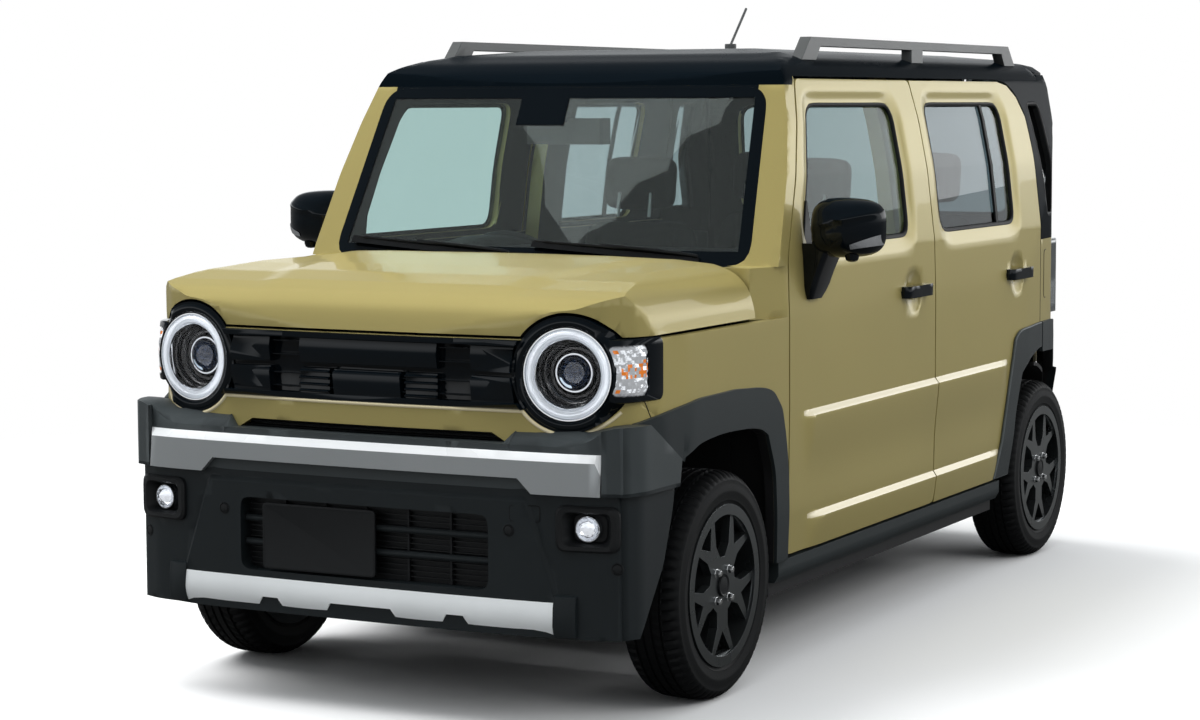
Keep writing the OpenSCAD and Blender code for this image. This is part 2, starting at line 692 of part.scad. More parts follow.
skid_top_h = 318;
// Skid cut-outs: centre and half width as shares of the half width
skid_cut_shares = [[-0.5, 0.1], [0, 0.22], [0.5, 0.1]];
skid_cut_h = 30;
module bumper_bars() color("silver") intersection() {
    bumper_band(-bar_t, 0);
    front_prism(aft(-bumper_side_fwd), overall_l) {
        polygon([[-bar_half_w, bar_low_h], [-bar_notch_half_w, bar_low_h],
            [bar_notch_h - bar_notch_half_w, bar_low_h + bar_notch_h],
            [bar_notch_half_w - bar_notch_h, bar_low_h + bar_notch_h], [bar_notch_half_w, bar_low_h],
            [bar_half_w, bar_low_h], [bar_half_w, bar_top_h], [-bar_half_w, bar_top_h]]);
        difference() {
            polygon([[-skid_half_w, skid_low_h], [skid_half_w, skid_low_h],
                [skid_half_w + skid_cut_h / 2, skid_top_h],
                [-skid_half_w - skid_cut_h / 2, skid_top_h]]);
            for (c = skid_cut_shares) polygon([
                [(c[0] - c[1]) * skid_half_w, skid_low_h - over], [(c[0] + c[1]) * skid_half_w,
                    skid_low_h - over],
                [(c[0] + c[1]) * skid_half_w - skid_cut_h, skid_low_h + skid_cut_h],
                [(c[0] - c[1]) * skid_half_w + skid_cut_h, skid_low_h + skid_cut_h]]);
        }
    }
}
intake_bars_h = [395, 455];
intake_bar_t = 16;
core_t = 10;
core_lip = 15;
module lower_grille() color([0.08, 0.08, 0.09]) {
    intersection() {
        bumper_band(bumper_t, bumper_t + core_t);
        front_prism(aft(-rail_fwd), overall_l) intake_outline(core_lip);
    }
    for (z = intake_bars_h) intersection() {
        bumper_band(core_t, bumper_t);
        front_prism(aft(-rail_fwd), overall_l) polygon(box_pts(-intake_half_w, intake_half_w, z,
            z + intake_bar_t));
    }
}
plate_w = 330;
plate_h = 165;
plate_y = -123;
plate_low_h = 342;
plate_t = 4;
plate_post_w = 20;
plate_post_h = 420;
module front_plate() color([0.05, 0.05, 0.06]) difference() {
    union() {
        box(aft(-bumper_fwd) + plate_t, aft(-bumper_fwd) + 2 * plate_t, plate_y - plate_w / 2,
            plate_y + plate_w / 2,
            plate_low_h, plate_low_h + plate_h);
        for (s = [-1, 1]) translate([0, plate_y + s * plate_w / 4, 0])
            box(aft(-rail_fwd), aft(-bumper_fwd) + plate_t, -plate_post_w, plate_post_w, plate_post_h,
                plate_post_h + plate_post_w);
    }
    plan_prism(0, nose_bottom_h) polygon(inset(bumper_plan, bumper_t));
}

// Rear bumper, tail lamps and quarter panels
bumper_inner = 15;
rear_bumper_low_h = 262;
rear_bumper_top_h = 600;
// Front edge in side view: shares of the arch's half width and of the bumper's height
rear_bumper_edge_shares = [[0.806, 1], [0.825, 0.953], [0.978, 0.408], [1.015, 0]];
rear_bumper_edge = shared(rear_bumper_edge_shares, back(0), rear_bumper_low_h, -arch_half_w,
    rear_bumper_top_h - rear_bumper_low_h);
module rear_bumper() color([0.16, 0.17, 0.18]) intersection() {
    skin(-tail_inset, bumper_inner);
    side_prism(-half_w - over, half_w + over) polygon(concat([[rear_end_x - over, rear_bumper_top_h]],
        [[rear_end_x - over, rear_bumper_low_h]], reversed(rear_bumper_edge)));
}
tail_lamp_back = 180;
tail_lamp_in_y = 622;
tail_lamp_out_y = 698;
tail_lamp_low_h = 790;
tail_lamp_top_h = 1040;
tail_lamp_proud = 16;
tail_lamp_waist = 12;
module tail_lamp_outline() let (m = (tail_lamp_low_h + tail_lamp_top_h) / 2) polygon(rounded([
    [tail_lamp_in_y, tail_lamp_low_h], [tail_lamp_out_y, tail_lamp_low_h],
        [tail_lamp_out_y - tail_lamp_waist, m],
    [tail_lamp_out_y, tail_lamp_top_h], [tail_lamp_in_y, tail_lamp_top_h]], pod_r / 2));
module tail_lamps() color("firebrick") both_sides() intersection() {
    skin(-tail_lamp_proud, wing_t);
    front_prism(rear_end_x - over, back(tail_lamp_back)) tail_lamp_outline();
}
gate_half_w = 608;
gate_low_gap = 5;
gate_side_y = gate_half_w + shut_gap;
gate_low_h = rear_bumper_top_h + shut_gap + gate_low_gap;
module quarter_panels() color("darkkhaki") both_sides() difference() {
    intersection() {
        skin(0, wing_t);
        box(rear_end_x, rear_door_x - shut_gap, gate_side_y, half_w, rocker_low_h, rear_pillar_low_h);
    }
    side_prism(0, half_w + over) polygon(rear_arch);
    side_prism(0, half_w + over) rear_door_square(shut_gap);
    side_prism(0, half_w + over) polygon(concat([[rear_end_x - over, rear_bumper_top_h]],
        [[rear_end_x - over, 0]], [[back(arch_half_w), 0]], reversed(rear_bumper_edge)));
    front_prism(rear_end_x - over, back(tail_lamp_back)) tail_lamp_outline();
}
module rear_pillars() color([0.03, 0.03, 0.05]) both_sides() difference() {
    intersection() {
        cabin_skin(frame_t);
        side_prism(0, half_w) difference() {
            polygon([[rear_end_x, rear_pillar_low_h], [rear_door_x + door_crown_l, rear_pillar_low_h],
                [rear_door_x + door_crown_l, roof_line_h], [aft(roof_rear_aft), roof_line_h],
                    [aft(roof_rear_aft), roof_h],
                [rear_end_x, roof_h]]);
            rear_door_outline(shut_gap);
            quarter_window();
        }
    }
    box(rear_end_x, aft(roof_rear_aft), -gate_side_y, gate_side_y, 0, roof_h + over);
}
module quarter_glass() color([0.15, 0.18, 0.2, 0.6]) both_sides() difference() {
    intersection() {
        cabin_solid(frame_t / 2);
        side_prism(0, half_w) quarter_window();
    }
    cabin_solid(frame_t / 2 + glass_t);
}

// Roof, rails, aerial
module roof() color([0.03, 0.03, 0.05]) {
    intersection() {
        cabin_skin(roof_t);
        side_prism(-half_w, half_w) polygon([[aft(roof_rear_aft), roof_line_h],
            [aft(pillar_top_aft - shut_gap), roof_line_h],
            [aft(roof_step_aft), roof_front_h], [aft(hood_rear_aft), roof_front_h],
                [aft(hood_rear_aft), roof_h],
            [aft(roof_rear_aft), roof_h]]);
    }
    both_sides() intersection() {
        box(aft(roof_rear_aft - gate_pad_l), aft(roof_rear_aft - gate_pad_l) + gate_pad_l / 2,
            gate_hinge_y, gate_hinge_y + gate_ear_w,
            gate_pad_h, roof_h);
        cabin_solid(roof_t / 2);
    }
}
bar_y = 562;
bar_w = 34;
bar_depth = 26;
bar_rise = 18;
bar_h = roof_h + bar_rise;
// Rail outline: station from the front foot as shares of the rail's length and of its height over the
// roof line
bar_front_aft = 765;
bar_rear_back = 180;
bar_rear_aft = wheelbase + bar_rear_back;
bar_foot_shares = [0.47, 0.52];
bar_rise_share = 0.06;
aerial_share = 0.6463;
aerial_aft = aerial_share * wheelbase;
aerial_l = 165;
aerial_r = 4;
aerial_foot_r = 18;
aerial_lean = 45;
module roof_rails() color([0.12, 0.12, 0.13]) difference() {
    union() {
        both_sides() side_prism(bar_y - bar_w / 2,
            bar_y + bar_w / 2) let (l = bar_rear_aft - bar_front_aft) {
            polygon([[aft(bar_rear_aft), roof_line_h], [aft(bar_rear_aft - l * bar_rise_share),
                roof_line_h],
                [aft(bar_rear_aft - 1.6 * l * bar_rise_share), bar_h - bar_depth],
                [aft(bar_front_aft + 1.6 * l * bar_rise_share), bar_h - bar_depth],
                [aft(bar_front_aft + l * bar_rise_share), roof_line_h], [aft(bar_front_aft), roof_line_h],
                [aft(bar_front_aft + l * bar_rise_share), bar_h],
                    [aft(bar_rear_aft - l * bar_rise_share), bar_h]]);
            polygon(box_pts(aft(bar_front_aft + l * bar_foot_shares[1]),
                aft(bar_front_aft + l * bar_foot_shares[0]),
                roof_line_h, bar_h - bar_depth / 2));
        }
        translate([aft(aerial_aft), 0, roof_h - roof_t / 2]) {
            cylinder(r = aerial_foot_r, h = roof_t);
            translate([0, 0, roof_t - aerial_r]) rotate([0, -aerial_lean, 0]) cylinder(r = aerial_r,
                h = aerial_l);
        }
    }
    cabin_solid(0);
}

// Cowl with the wipers parked on the screen, windscreen and cabin mirror
cowl_half_w = 545;
cowl_rear_aft = 330;
cowl_rise = 34;
wiper_in = 6;
wiper_out = 14;
wiper_w = 14;
// Wipers: pivot side, tip side and tip height over the cowl, as shares of half width and of the
// screen's height
wiper_shares = [[-0.08, -0.8, 0.1], [0.68, 0.02, 0.1]];
module wiper_strip(a, b) polygon([a - [0, wiper_w / 2], a + [0, wiper_w / 2], b + [0, wiper_w / 2],
    b - [0, wiper_w / 2]]);
module cowl() color([0.06, 0.06, 0.07]) {
    difference() {
        box(aft(cowl_rear_aft), aft(hood_rear_aft + shut_gap + over), -cowl_half_w, cowl_half_w,
            cowl_top_h, cowl_top_h + cowl_rise);
        side_prism(-half_w, half_w) polygon([[aft(hood_rear_aft), cowl_top_h + cowl_rise - fire_t],
            [aft(hood_rear_aft), cowl_top_h + 2 * cowl_rise], [aft(cowl_aft), cowl_top_h + 2 * cowl_rise],
            [aft(cowl_aft), cowl_top_h + cowl_rise]]);
    }
    for (w = wiper_shares) let (a = [w[0] * body_half_w, screen_low_h + wiper_w],
        b = [w[1] * body_half_w, screen_low_h + w[2] * (screen_top_h - screen_low_h)]) intersection() {
        difference() {
            screen_solid(-wiper_out);
            screen_solid(-wiper_in);
        }
        front_prism(aft(header_aft), aft(0)) {
            wiper_strip(a, b);
            polygon(box_pts(a[0] - wiper_w, a[0] + wiper_w, cowl_top_h + fire_t, a[1] + wiper_w / 2));
        }
    }
}
module windscreen() color([0.5, 0.6, 0.65, 0.4]) intersection() {
    difference() {
        screen_solid(0);
        screen_solid(glass_t);
    }
    front_prism(aft(pillar_top_aft), aft(0)) screen_outline();
}
pod_half_w = 72;
pod_y = -60;
pod_depth = 40;
pod_h = 75;
glass_mirror_w = 230;
glass_mirror_h = 62;
module cabin_mirror() color([0.05, 0.05, 0.05]) {
    intersection() {
        difference() {
            screen_solid(glass_t);
            screen_solid(glass_t + pod_depth);
        }
        front_prism(aft(pillar_top_aft), aft(0)) translate([0, screen_top_h - pod_h - over])
            polygon(box_pts(pod_y - pod_half_w, pod_y + pod_half_w, 0, pod_h));
    }
    let (z = screen_top_h - pod_h - over, x = aft(header_aft))
        box(x - pod_depth, x + over, -glass_mirror_w / 2, glass_mirror_w / 2, z - glass_mirror_h,
            z + over / 2);
}

// Claddings over the arches and sills
flare_fwd = 413;
flare_low_fwd = 245;
flare_low_h = 600;
sill_out_y = 720;
sill_low_h = 238;
module cladding_shell() intersection() {
    skin(-cladding_t, 0);
    plan_prism(fender_low_h, roof_h) polygon(box_pts(rear_end_x, overall_l / 2, 0, half_w + over));
}
module claddings() color([0.16, 0.17, 0.18]) both_sides() {
    intersection() {
        cladding_shell();
        side_prism(0, half_w) intersection() {
            difference() {
                polygon(front_flare);
                polygon(front_arch);
            }
            polygon([[aft(door_front_aft - shut_gap), fender_low_h], [aft(0), fender_low_h],
                [aft(-flare_low_fwd), flare_low_h], [nose_seam[0][0], nose_bottom_h + cap_gap],
                [aft(-flare_fwd), nose_bottom_h + cap_gap], [aft(-flare_fwd), hood_h],
                [aft(door_front_aft - shut_gap), hood_h]]);
        }
    }
    intersection() {
        cladding_shell();
        side_prism(0, half_w) intersection() {
            difference() {
                polygon(rear_flare);
                polygon(rear_arch);
            }
            polygon(box_pts(back(arch_half_w * 2), rear_door_x - shut_gap, rear_bumper_top_h, hood_h));
        }
    }
    front_prism(rear_axle_x + rocker_end_lead, aft(fire_aft)) polygon([[rocker_out_y, sill_low_h],
        [sill_out_y - pad_t * 2, sill_low_h],
        [sill_out_y, sill_low_h + over], [sill_out_y, sill_h], [rocker_out_y, sill_h]]);
}

// Doors
handle_l = 200;
handle_h = 34;
handle_proud = 26;
handle_z = 950;
handle_bowl_r = 130;
handle_bowl_deep = 20;
handle_back = 75;
handle_rear_lead = 250;
handle_xs = [aft(door_split_aft) + handle_back + handle_l / 2, rear_axle_x + handle_rear_lead];
module hinge_cuts(x) for (z = hinge_hs) translate([x, hinge_y, z]) {
    cylinder(r = pin_r + run_clear, h = pocket_h + 2 * pin_grip, center = true);
    box(-barrel_r - side_play, hinge_back + over, -door_t, barrel_r + side_play / 2, -pocket_h / 2,
        pocket_h / 2);
}
module door_handle(x) {
    intersection() {
        box(x - handle_l / 2, x + handle_l / 2, body_half_w - handle_bowl_deep / 4,
            body_half_w + handle_proud, handle_z - handle_h / 2,
            handle_z + handle_h / 2);
        plan_prism(0, roof_h) polygon(rounded([[x - handle_l / 2, body_half_w - over],
            [x + handle_l / 2, body_half_w - over],
            [x + handle_l / 2, body_half_w + handle_proud], [x - handle_l / 2,
                body_half_w + handle_proud]], handle_proud));
    }
}
module handle_bowl(x) translate([x, body_half_w + handle_bowl_r - handle_bowl_deep,
    handle_z]) sphere(r = handle_bowl_r);
module front_door(s) color("darkkhaki") side_of(s) {
    difference() {
        intersection() {
            front_prism(aft(door_split_aft), aft(door_front_aft)) polygon(slab(0, 0, door_t, frame_t));
            side_prism(0, half_w) difference() {
                front_door_outline(0);
                front_window();
            }
        }
        hinge_cuts(hinge_xs[0]);
        handle_bowl(handle_xs[0]);
    }
    door_handle(handle_xs[0]);
}
module rear_door(s) color("darkkhaki") side_of(s) {
    difference() {
        intersection() {
            front_prism(rear_door_x, aft(door_split_aft)) polygon(slab(0, 0, door_t, frame_t));
            plan_prism(0, roof_h) polygon(plan);
            side_prism(0, half_w) difference() {
                union() {
                    intersection() {
                        rear_door_outline(0);
                        polygon(box_pts(rear_door_x, aft(door_split_aft), belt_h - over, roof_h));
                    }
                    rear_door_square(0);
                }
                rear_window();
            }
        }
        hinge_cuts(hinge_xs[1]);
        handle_bowl(handle_xs[1]);
    }
    door_handle(handle_xs[1]);
}
module front_glass(s) color([0.3, 0.36, 0.4, 0.5]) side_of(s) intersection() {
    front_prism(aft(door_split_aft), aft(door_front_aft))
        polygon(slab(frame_t / 2, frame_t / 2, frame_t / 2 + glass_t, frame_t / 2 + glass_t));
    side_prism(0, half_w) front_window();
}
module rear_glass(s) color([0.15, 0.18, 0.2, 0.6]) side_of(s) intersection() {
    front_prism(rear_door_x, aft(door_split_aft))
        polygon(slab(frame_t / 2, frame_t / 2, frame_t / 2 + glass_t, frame_t / 2 + glass_t));
    side_prism(0, half_w) rear_window();
}
module rear_door_arch(s) color([0.16, 0.17, 0.18]) side_of(s) intersection() {
    cladding_shell();
    side_prism(0, half_w) intersection() {
        difference() {
            polygon(rear_flare);
            translate([0, door_lip]) polygon(rear_arch);
        }
        polygon(box_pts(rear_door_x, rear_axle_x + 2 * arch_half_w, door_low_h, hood_h));
    }
}
// Door mirrors: a rounded head on a foot below the belt
head_in_y = 742;
head_out_y = 932;
head_low_h = 1088;
head_top_h = 1246;
head_aft = 478;
head_l = 84;
head_r = 45;
foot_top_aft = 655;
foot_low_aft = 500;
foot_low_h = 974;
foot_out_y = 768;
module mirror_arm(s) color([0.03, 0.03, 0.05]) side_of(s) {
    intersection() {
        front_prism(aft(head_aft + head_l), aft(head_aft))
            polygon(rounded(box_pts(head_in_y, head_out_y, head_low_h, head_top_h), head_r));
        plan_prism(0, roof_h) polygon(rounded([[aft(head_aft + head_l), head_in_y - over],
            [aft(head_aft), head_in_y - over], [aft(head_aft + head_l / 3), head_out_y],
            [aft(head_aft + head_l), head_out_y]], head_r));
    }
    difference() {
        side_prism(body_half_w - over, foot_out_y) polygon([[aft(foot_top_aft - head_l / 2),
            foot_low_h], [aft(foot_low_aft), foot_low_h],
            [aft(head_aft + over), head_low_h + over], [aft(foot_top_aft), head_low_h - over]]);
        front_prism(aft(foot_top_aft), aft(head_aft)) polygon(whole_section(half_section));
    }
}

// Bonnet: front section shares of half width and crown height, side profile shares of length and height
hood_section_shares = [[0.971, 0.82], [0.968, 0.861], [0.957, 0.902], [0.93, 0.941], [0.88, 0.969],
    [0.805, 0.986],
    [0.66, 0.9945], [0.344, 0.999], [0.1, 1]];
hood_profile_shares = [[1, 0.852], [0.987, 0.884], [0.963, 0.916], [0.914, 0.942], [0.84, 0.957],
    [0.707, 0.973],
    [0.508, 0.984], [0.242, 0.994], [0, 1]];
hood_t = 30;
hood_section = whole_section(shared(hood_section_shares, 0, 0, body_half_w, hood_h));
hood_low_h = hood_section_shares[0][1] * hood_h;
hood_profile = concat([[aft(hood_rear_aft), hood_low_h], [aft(-nose_fwd), hood_low_h]],
    shared(hood_profile_shares, aft(hood_rear_aft), 0, nose_fwd + hood_rear_aft, hood_h));
module hood_solid(t, b) intersection() {
    front_prism(aft(hood_rear_aft) - b, overall_l) polygon(inset(hood_section, t));
    side_prism(-half_w, half_w) translate([-b, 0]) polygon(inset(hood_profile, t));
    plan_prism(0, roof_h) polygon(inset(plan, t));
}
hood_pin_aft = 262;
hood_pin_h = 1058;
hood_pin_y = 565;
hood_lug_w = 18;
hood_eye_r = 12;
hood_ear_y = hood_pin_y + hood_lug_w + side_play / 2;
module hood_lug() difference() {
    side_prism(hood_pin_y, hood_pin_y + hood_lug_w) union() {
        translate([aft(hood_pin_aft), hood_pin_h]) circle(r = hood_eye_r);
        polygon([[aft(hood_pin_aft), hood_pin_h - hood_eye_r], [aft(hood_rear_aft - pillar_t),
            hood_pin_h - 2 * hood_eye_r],
            [aft(hood_rear_aft - pillar_t), hood_pin_h + hood_eye_r / 2], [aft(hood_pin_aft),
                hood_pin_h + hood_eye_r]]);
    }
    across(aft(hood_pin_aft), hood_pin_h, hood_pin_y - over, hood_pin_y + hood_lug_w + over,
        pin_r + run_clear);
}
module bonnet() color("darkkhaki") {
    difference() {
        hood_solid(0, 0);
        hood_solid(hood_t, over + hood_t);
        box(0, overall_l, -half_w, half_w, 0, hood_line_h);
        both_sides() translate([aft(0), lamp_y, lamp_h]) rotate([0, 90,
            0]) cylinder(r = bezel_r + shut_gap, h = overall_l);
    }
    both_sides() hood_lug();
}

// Tailgate with its window, hinge lugs at the roof's rear edge
gate_gap = 9;
gate_pin_back = 295;
gate_pin_aft = wheelbase + gate_pin_back;
gate_pin_drop = 59;
gate_pin_h = roof_h - gate_pin_drop;
gate_hinge_y = 350;
gate_ear_w = 30;
gate_pocket_w = 50;
gate_pad_l = 60;
gate_pad_drop = 97;
gate_pad_h = roof_h - gate_pad_drop;
gate_arm_drop = 78;
gate_window_half_w = 500;
gate_window_low_h = 1110;
gate_window_drop = 172;
gate_window_top_h = roof_h - gate_window_drop;
module gate_window() polygon(rounded(box_pts(-gate_window_half_w, gate_window_half_w,
    gate_window_low_h, gate_window_top_h),
    window_r));
module tailgate() color("darkkhaki") difference() {
    intersection() {
        cabin_skin(gate_t);
        box(rear_end_x, aft(roof_rear_aft + gate_gap), -gate_half_w, gate_half_w, gate_low_h, roof_h);
    }
    front_prism(rear_end_x - over, aft(roof_rear_aft)) gate_window();
    both_sides() {
        across(aft(gate_pin_aft), gate_pin_h,
            gate_hinge_y - pin_grip - gate_pocket_w / 2 + gate_ear_w / 2,
            gate_hinge_y + gate_pocket_w / 2 + gate_ear_w / 2 + pin_grip, pin_r + run_clear);
        translate([aft(gate_pin_aft), gate_hinge_y + gate_ear_w / 2 - gate_pocket_w / 2, gate_pin_h])
            box(-barrel_r - side_play, 2 * gate_t, 0, gate_pocket_w, -3 * gate_t,
                barrel_r + side_play / 2);
    }
}
module tailgate_glass() color([0.15, 0.18, 0.2, 0.6]) intersection() {
    difference() {
        cabin_solid(gate_t / 4);
        cabin_solid(gate_t / 4 + glass_t);
    }
    front_prism(rear_end_x - over, aft(roof_rear_aft)) gate_window();
}

// Hinge brackets and pins that the body carries
module hinges() color("gray") both_sides() {
    for (x = hinge_xs, z = hinge_hs) translate([x, hinge_y, z]) {
        cylinder(r = pin_r, h = pocket_h + 2 * pin_grip, center = true);
        cylinder(r = barrel_r, h = pocket_h - 2 * side_play, center = true);
        box(-arm_t / 2, arm_t / 2, post_y - hinge_y, 0, side_play - pocket_h / 2,
            pocket_h / 2 - side_play);
    }
    translate([aft(hood_pin_aft), 0, hood_pin_h])
        box(-hood_eye_r, hood_eye_r, hood_ear_y, cowl_side_y, -2 * hood_eye_r, hood_eye_r);
    across(aft(hood_pin_aft), hood_pin_h, hood_pin_y, hood_ear_y, pin_r);
    across(aft(gate_pin_aft), gate_pin_h, gate_hinge_y - pin_grip - gate_pocket_w / 2 + gate_ear_w / 2,
        gate_hinge_y + gate_pocket_w / 2 + gate_ear_w / 2 + pin_grip, pin_r);
    side_prism(gate_hinge_y, gate_hinge_y + gate_ear_w) polygon([
        [aft(gate_pin_aft) - arm_t / 2, gate_pin_h], [aft(gate_pin_aft) - arm_t / 2,
            gate_pin_h - gate_arm_drop - arm_t],
        [aft(roof_rear_aft - gate_pad_l) + gate_pad_l / 2, gate_pin_h - gate_arm_drop - arm_t],
        [aft(roof_rear_aft - gate_pad_l) + gate_pad_l / 2, gate_pad_h],
            [aft(roof_rear_aft - gate_pad_l), gate_pad_h],
        [aft(roof_rear_aft - gate_pad_l), gate_pin_h - gate_arm_drop],
        [aft(gate_pin_aft) + arm_t / 2, gate_pin_h - gate_arm_drop], [aft(gate_pin_aft) + arm_t / 2,
            gate_pin_h]]);
}

// Cabin: dashboard with the steering column, seats
dash_half_w = 570;
dash_low_h = 700;
dash_top_h = 1035;
dash_aft = 700;
dash_brow_aft = 660;
wheel_y = -330;
wheel_aft = 835;
wheel_h = 955;
wheel_tilt = 28;
wheel_r = 180;
wheel_ring_r = 15;
hub_r = 48;
column_r = 12;
column_l = 150;
column_grip = 30;
module column_frame() translate([aft(wheel_aft), wheel_y, wheel_h]) rotate([0, 90 + wheel_tilt,
    0]) children();
module dashboard() color([0.09, 0.09, 0.1]) {
    side_prism(-dash_half_w, dash_half_w) polygon([[aft(fire_aft), dash_low_h], [aft(fire_aft),
        dash_top_h - 2 * fire_t],
        [aft(fire_aft + pillar_t), dash_top_h - fire_t], [aft(dash_brow_aft), dash_top_h],
            [aft(dash_aft), dash_top_h - 2 * pillar_t],
        [aft(dash_brow_aft), dash_low_h + pillar_t], [aft(dash_brow_aft - pillar_t), dash_low_h]]);
    column_frame() {
        translate([0, 0, column_grip + side_play / 2]) cylinder(r = hub_r - column_r, h = column_l);
        cylinder(r = column_r, h = column_l);
    }
}
module steering_wheel() color([0.07, 0.07, 0.07]) column_frame() {
    rotate_extrude() translate([wheel_r, 0]) circle(r = wheel_ring_r);
    difference() {
        union() {
            translate([0, 0, -column_grip]) cylinder(r = hub_r, h = 2 * column_grip);
            for (a = [0, 90, 180]) rotate([0, 0, a - 90]) box(0, wheel_r, -column_r, column_r,
                -wheel_ring_r / 2, wheel_ring_r / 2);
        }
        cylinder(r = column_r + run_clear, h = column_l);
    }
}
seat_y = 295;
seat_w = 450;
seat_front_share = 0.366;
seat_front_aft = seat_front_share * wheelbase;
seat_l_share = 0.2115;
seat_l = seat_l_share * wheelbase;
seat_h = 560;
seat_t = 130;
back_h = 600;
back_t = 130;
back_lean = 90;
head_w = 250;
head_t = 90;
headrest_h = 170;
bench_lead = 600;
bench_half_w = 520;
module seat_shape(x, z0, y0, y1, heads) {
    side_prism(y0, y1) polygon([[x - seat_l, z0], [x - over, z0], [x, seat_h - seat_t / 2], [x - over,
        seat_h], [x - seat_l, seat_h - over]]);
    side_prism(y0, y1) polygon([[x - seat_l - back_t, z0], [x - seat_l, z0], [x - seat_l, seat_h],
        [x - seat_l - back_lean, seat_h + back_h], [x - seat_l - back_lean - back_t / 2, seat_h + back_h],
        [x - seat_l - back_t, seat_h]]);
    for (y = heads) side_prism(y - head_w / 2,
        y + head_w / 2) translate([x - seat_l - back_lean - head_t, seat_h + back_h])
        polygon(rounded(box_pts(0, head_t, 0, headrest_h), over));
}
module seats() color([0.1, 0.1, 0.11]) {
    both_sides() seat_shape(aft(seat_front_aft), floor_low_h + floor_t, seat_y - seat_w / 2,
        seat_y + seat_w / 2, [seat_y]);
    seat_shape(rear_axle_x + bench_lead, rear_floor_h + floor_t, -bench_half_w, bench_half_w, [-seat_y,
        seat_y]);
}

// Engine block on its mounts, exhaust
engine_fwd = 300;
engine_aft = 180;
engine_half_w = 290;
engine_low_h = 250;
engine_top_h = 820;
engine_r = 60;
mount_half_l = 60;
module engine() color("gray") {
    side_prism(-engine_half_w, engine_half_w) polygon(rounded(box_pts(aft(engine_aft),
        aft(-engine_fwd), engine_low_h, engine_top_h),
        engine_r));
    box(aft(mount_half_l), aft(-mount_half_l), -rail_in_y, rail_in_y, rail_low_h, rail_top_h);
}
pipe_y = -90;
pipe_h = 203;
pipe_r = 18;
pipe_rear_lead = -20;
muffler_l = 230;
muffler_w = 240;
muffler_low_h = 190;
muffler_top_h = 320;
hanger_w = 16;
hanger_afts = [700, 1500];
module exhaust() color("silver") {
    translate([rear_axle_x + pipe_rear_lead, pipe_y, pipe_h]) rotate([0, 90, 0])
        cylinder(r = pipe_r, h = aft(engine_aft) - rear_axle_x - pipe_rear_lead);
    box(aft(engine_aft), aft(engine_aft - over), pipe_y - pipe_r, pipe_y + pipe_r, pipe_h - pipe_r,
        engine_low_h);
    for (d = hanger_afts) box(aft(d), aft(d - hanger_w), pipe_y - hanger_w, pipe_y + hanger_w, pipe_h,
        floor_low_h);
    side_prism(pipe_y - muffler_w / 2, pipe_y + muffler_w / 2)
        polygon(rounded(box_pts(rear_axle_x + pipe_rear_lead - muffler_l,
        rear_axle_x + pipe_rear_lead, muffler_low_h, muffler_top_h), over));
    translate([rear_axle_x + pipe_rear_lead - muffler_l / 2, pipe_y, 0])
        box(-hanger_w, hanger_w, -hanger_w, hanger_w, muffler_top_h - over, rear_floor_h);
}

// Front suspension: subframe, lower arms with the steering pins, springs; steered knuckles
king_y = 610;
king_h = 200;
king_top_y = 470;
king_incl = atan((king_y - king_top_y) / (apron_top_h - king_h));
king_pin_r = 10;
arm_low_h = 172;
lower_arm_t = 18;
spring_r = 48;
spring_low = 455;
strut_r = 20;
subframe_l = 160;
shaft_r = 14;
shaft_end_y = 540;
module king_frame() translate([front_axle_x, king_y, king_h]) rotate([king_incl, 0, 0]) children();
module front_suspension() color([0.2, 0.2, 0.21]) {
    box(aft(subframe_l / 2), aft(-subframe_l / 2), -rail_in_y - lower_arm_t, rail_in_y + lower_arm_t,
        arm_low_h + lower_arm_t, engine_low_h);
    both_sides() {
        box(aft(subframe_l / 2), aft(-subframe_l / 2), rail_in_y, rail_in_y + lower_arm_t, arm_low_h,
            rail_low_h);
        plan_prism(arm_low_h, arm_low_h + lower_arm_t) polygon([[aft(subframe_l / 2), rail_in_y],
            [aft(-subframe_l / 2), rail_in_y],
            [aft(-lower_arm_t / 2), king_y + lower_arm_t / 2], [aft(lower_arm_t / 2),
                king_y + lower_arm_t / 2]]);
        king_frame() translate([0, 0, -lower_arm_t]) cylinder(r = king_pin_r, h = 3 * lower_arm_t);
        intersection() {
            king_frame() translate([0, 0, spring_low]) cylinder(r = spring_r, h = apron_top_h);
            box(aft(tower_half_l), aft(-tower_half_l), rail_out_y, body_half_w, hub_h,
                apron_top_h - apron_t);
        }
        across(front_axle_x, hub_h, engine_half_w, shaft_end_y, shaft_r);
    }
}
knuckle_w = 90;
knuckle_in = 82;
knuckle_out = 34;
knuckle_low = 60;
spindle_out = 44;
lug_low = 6;
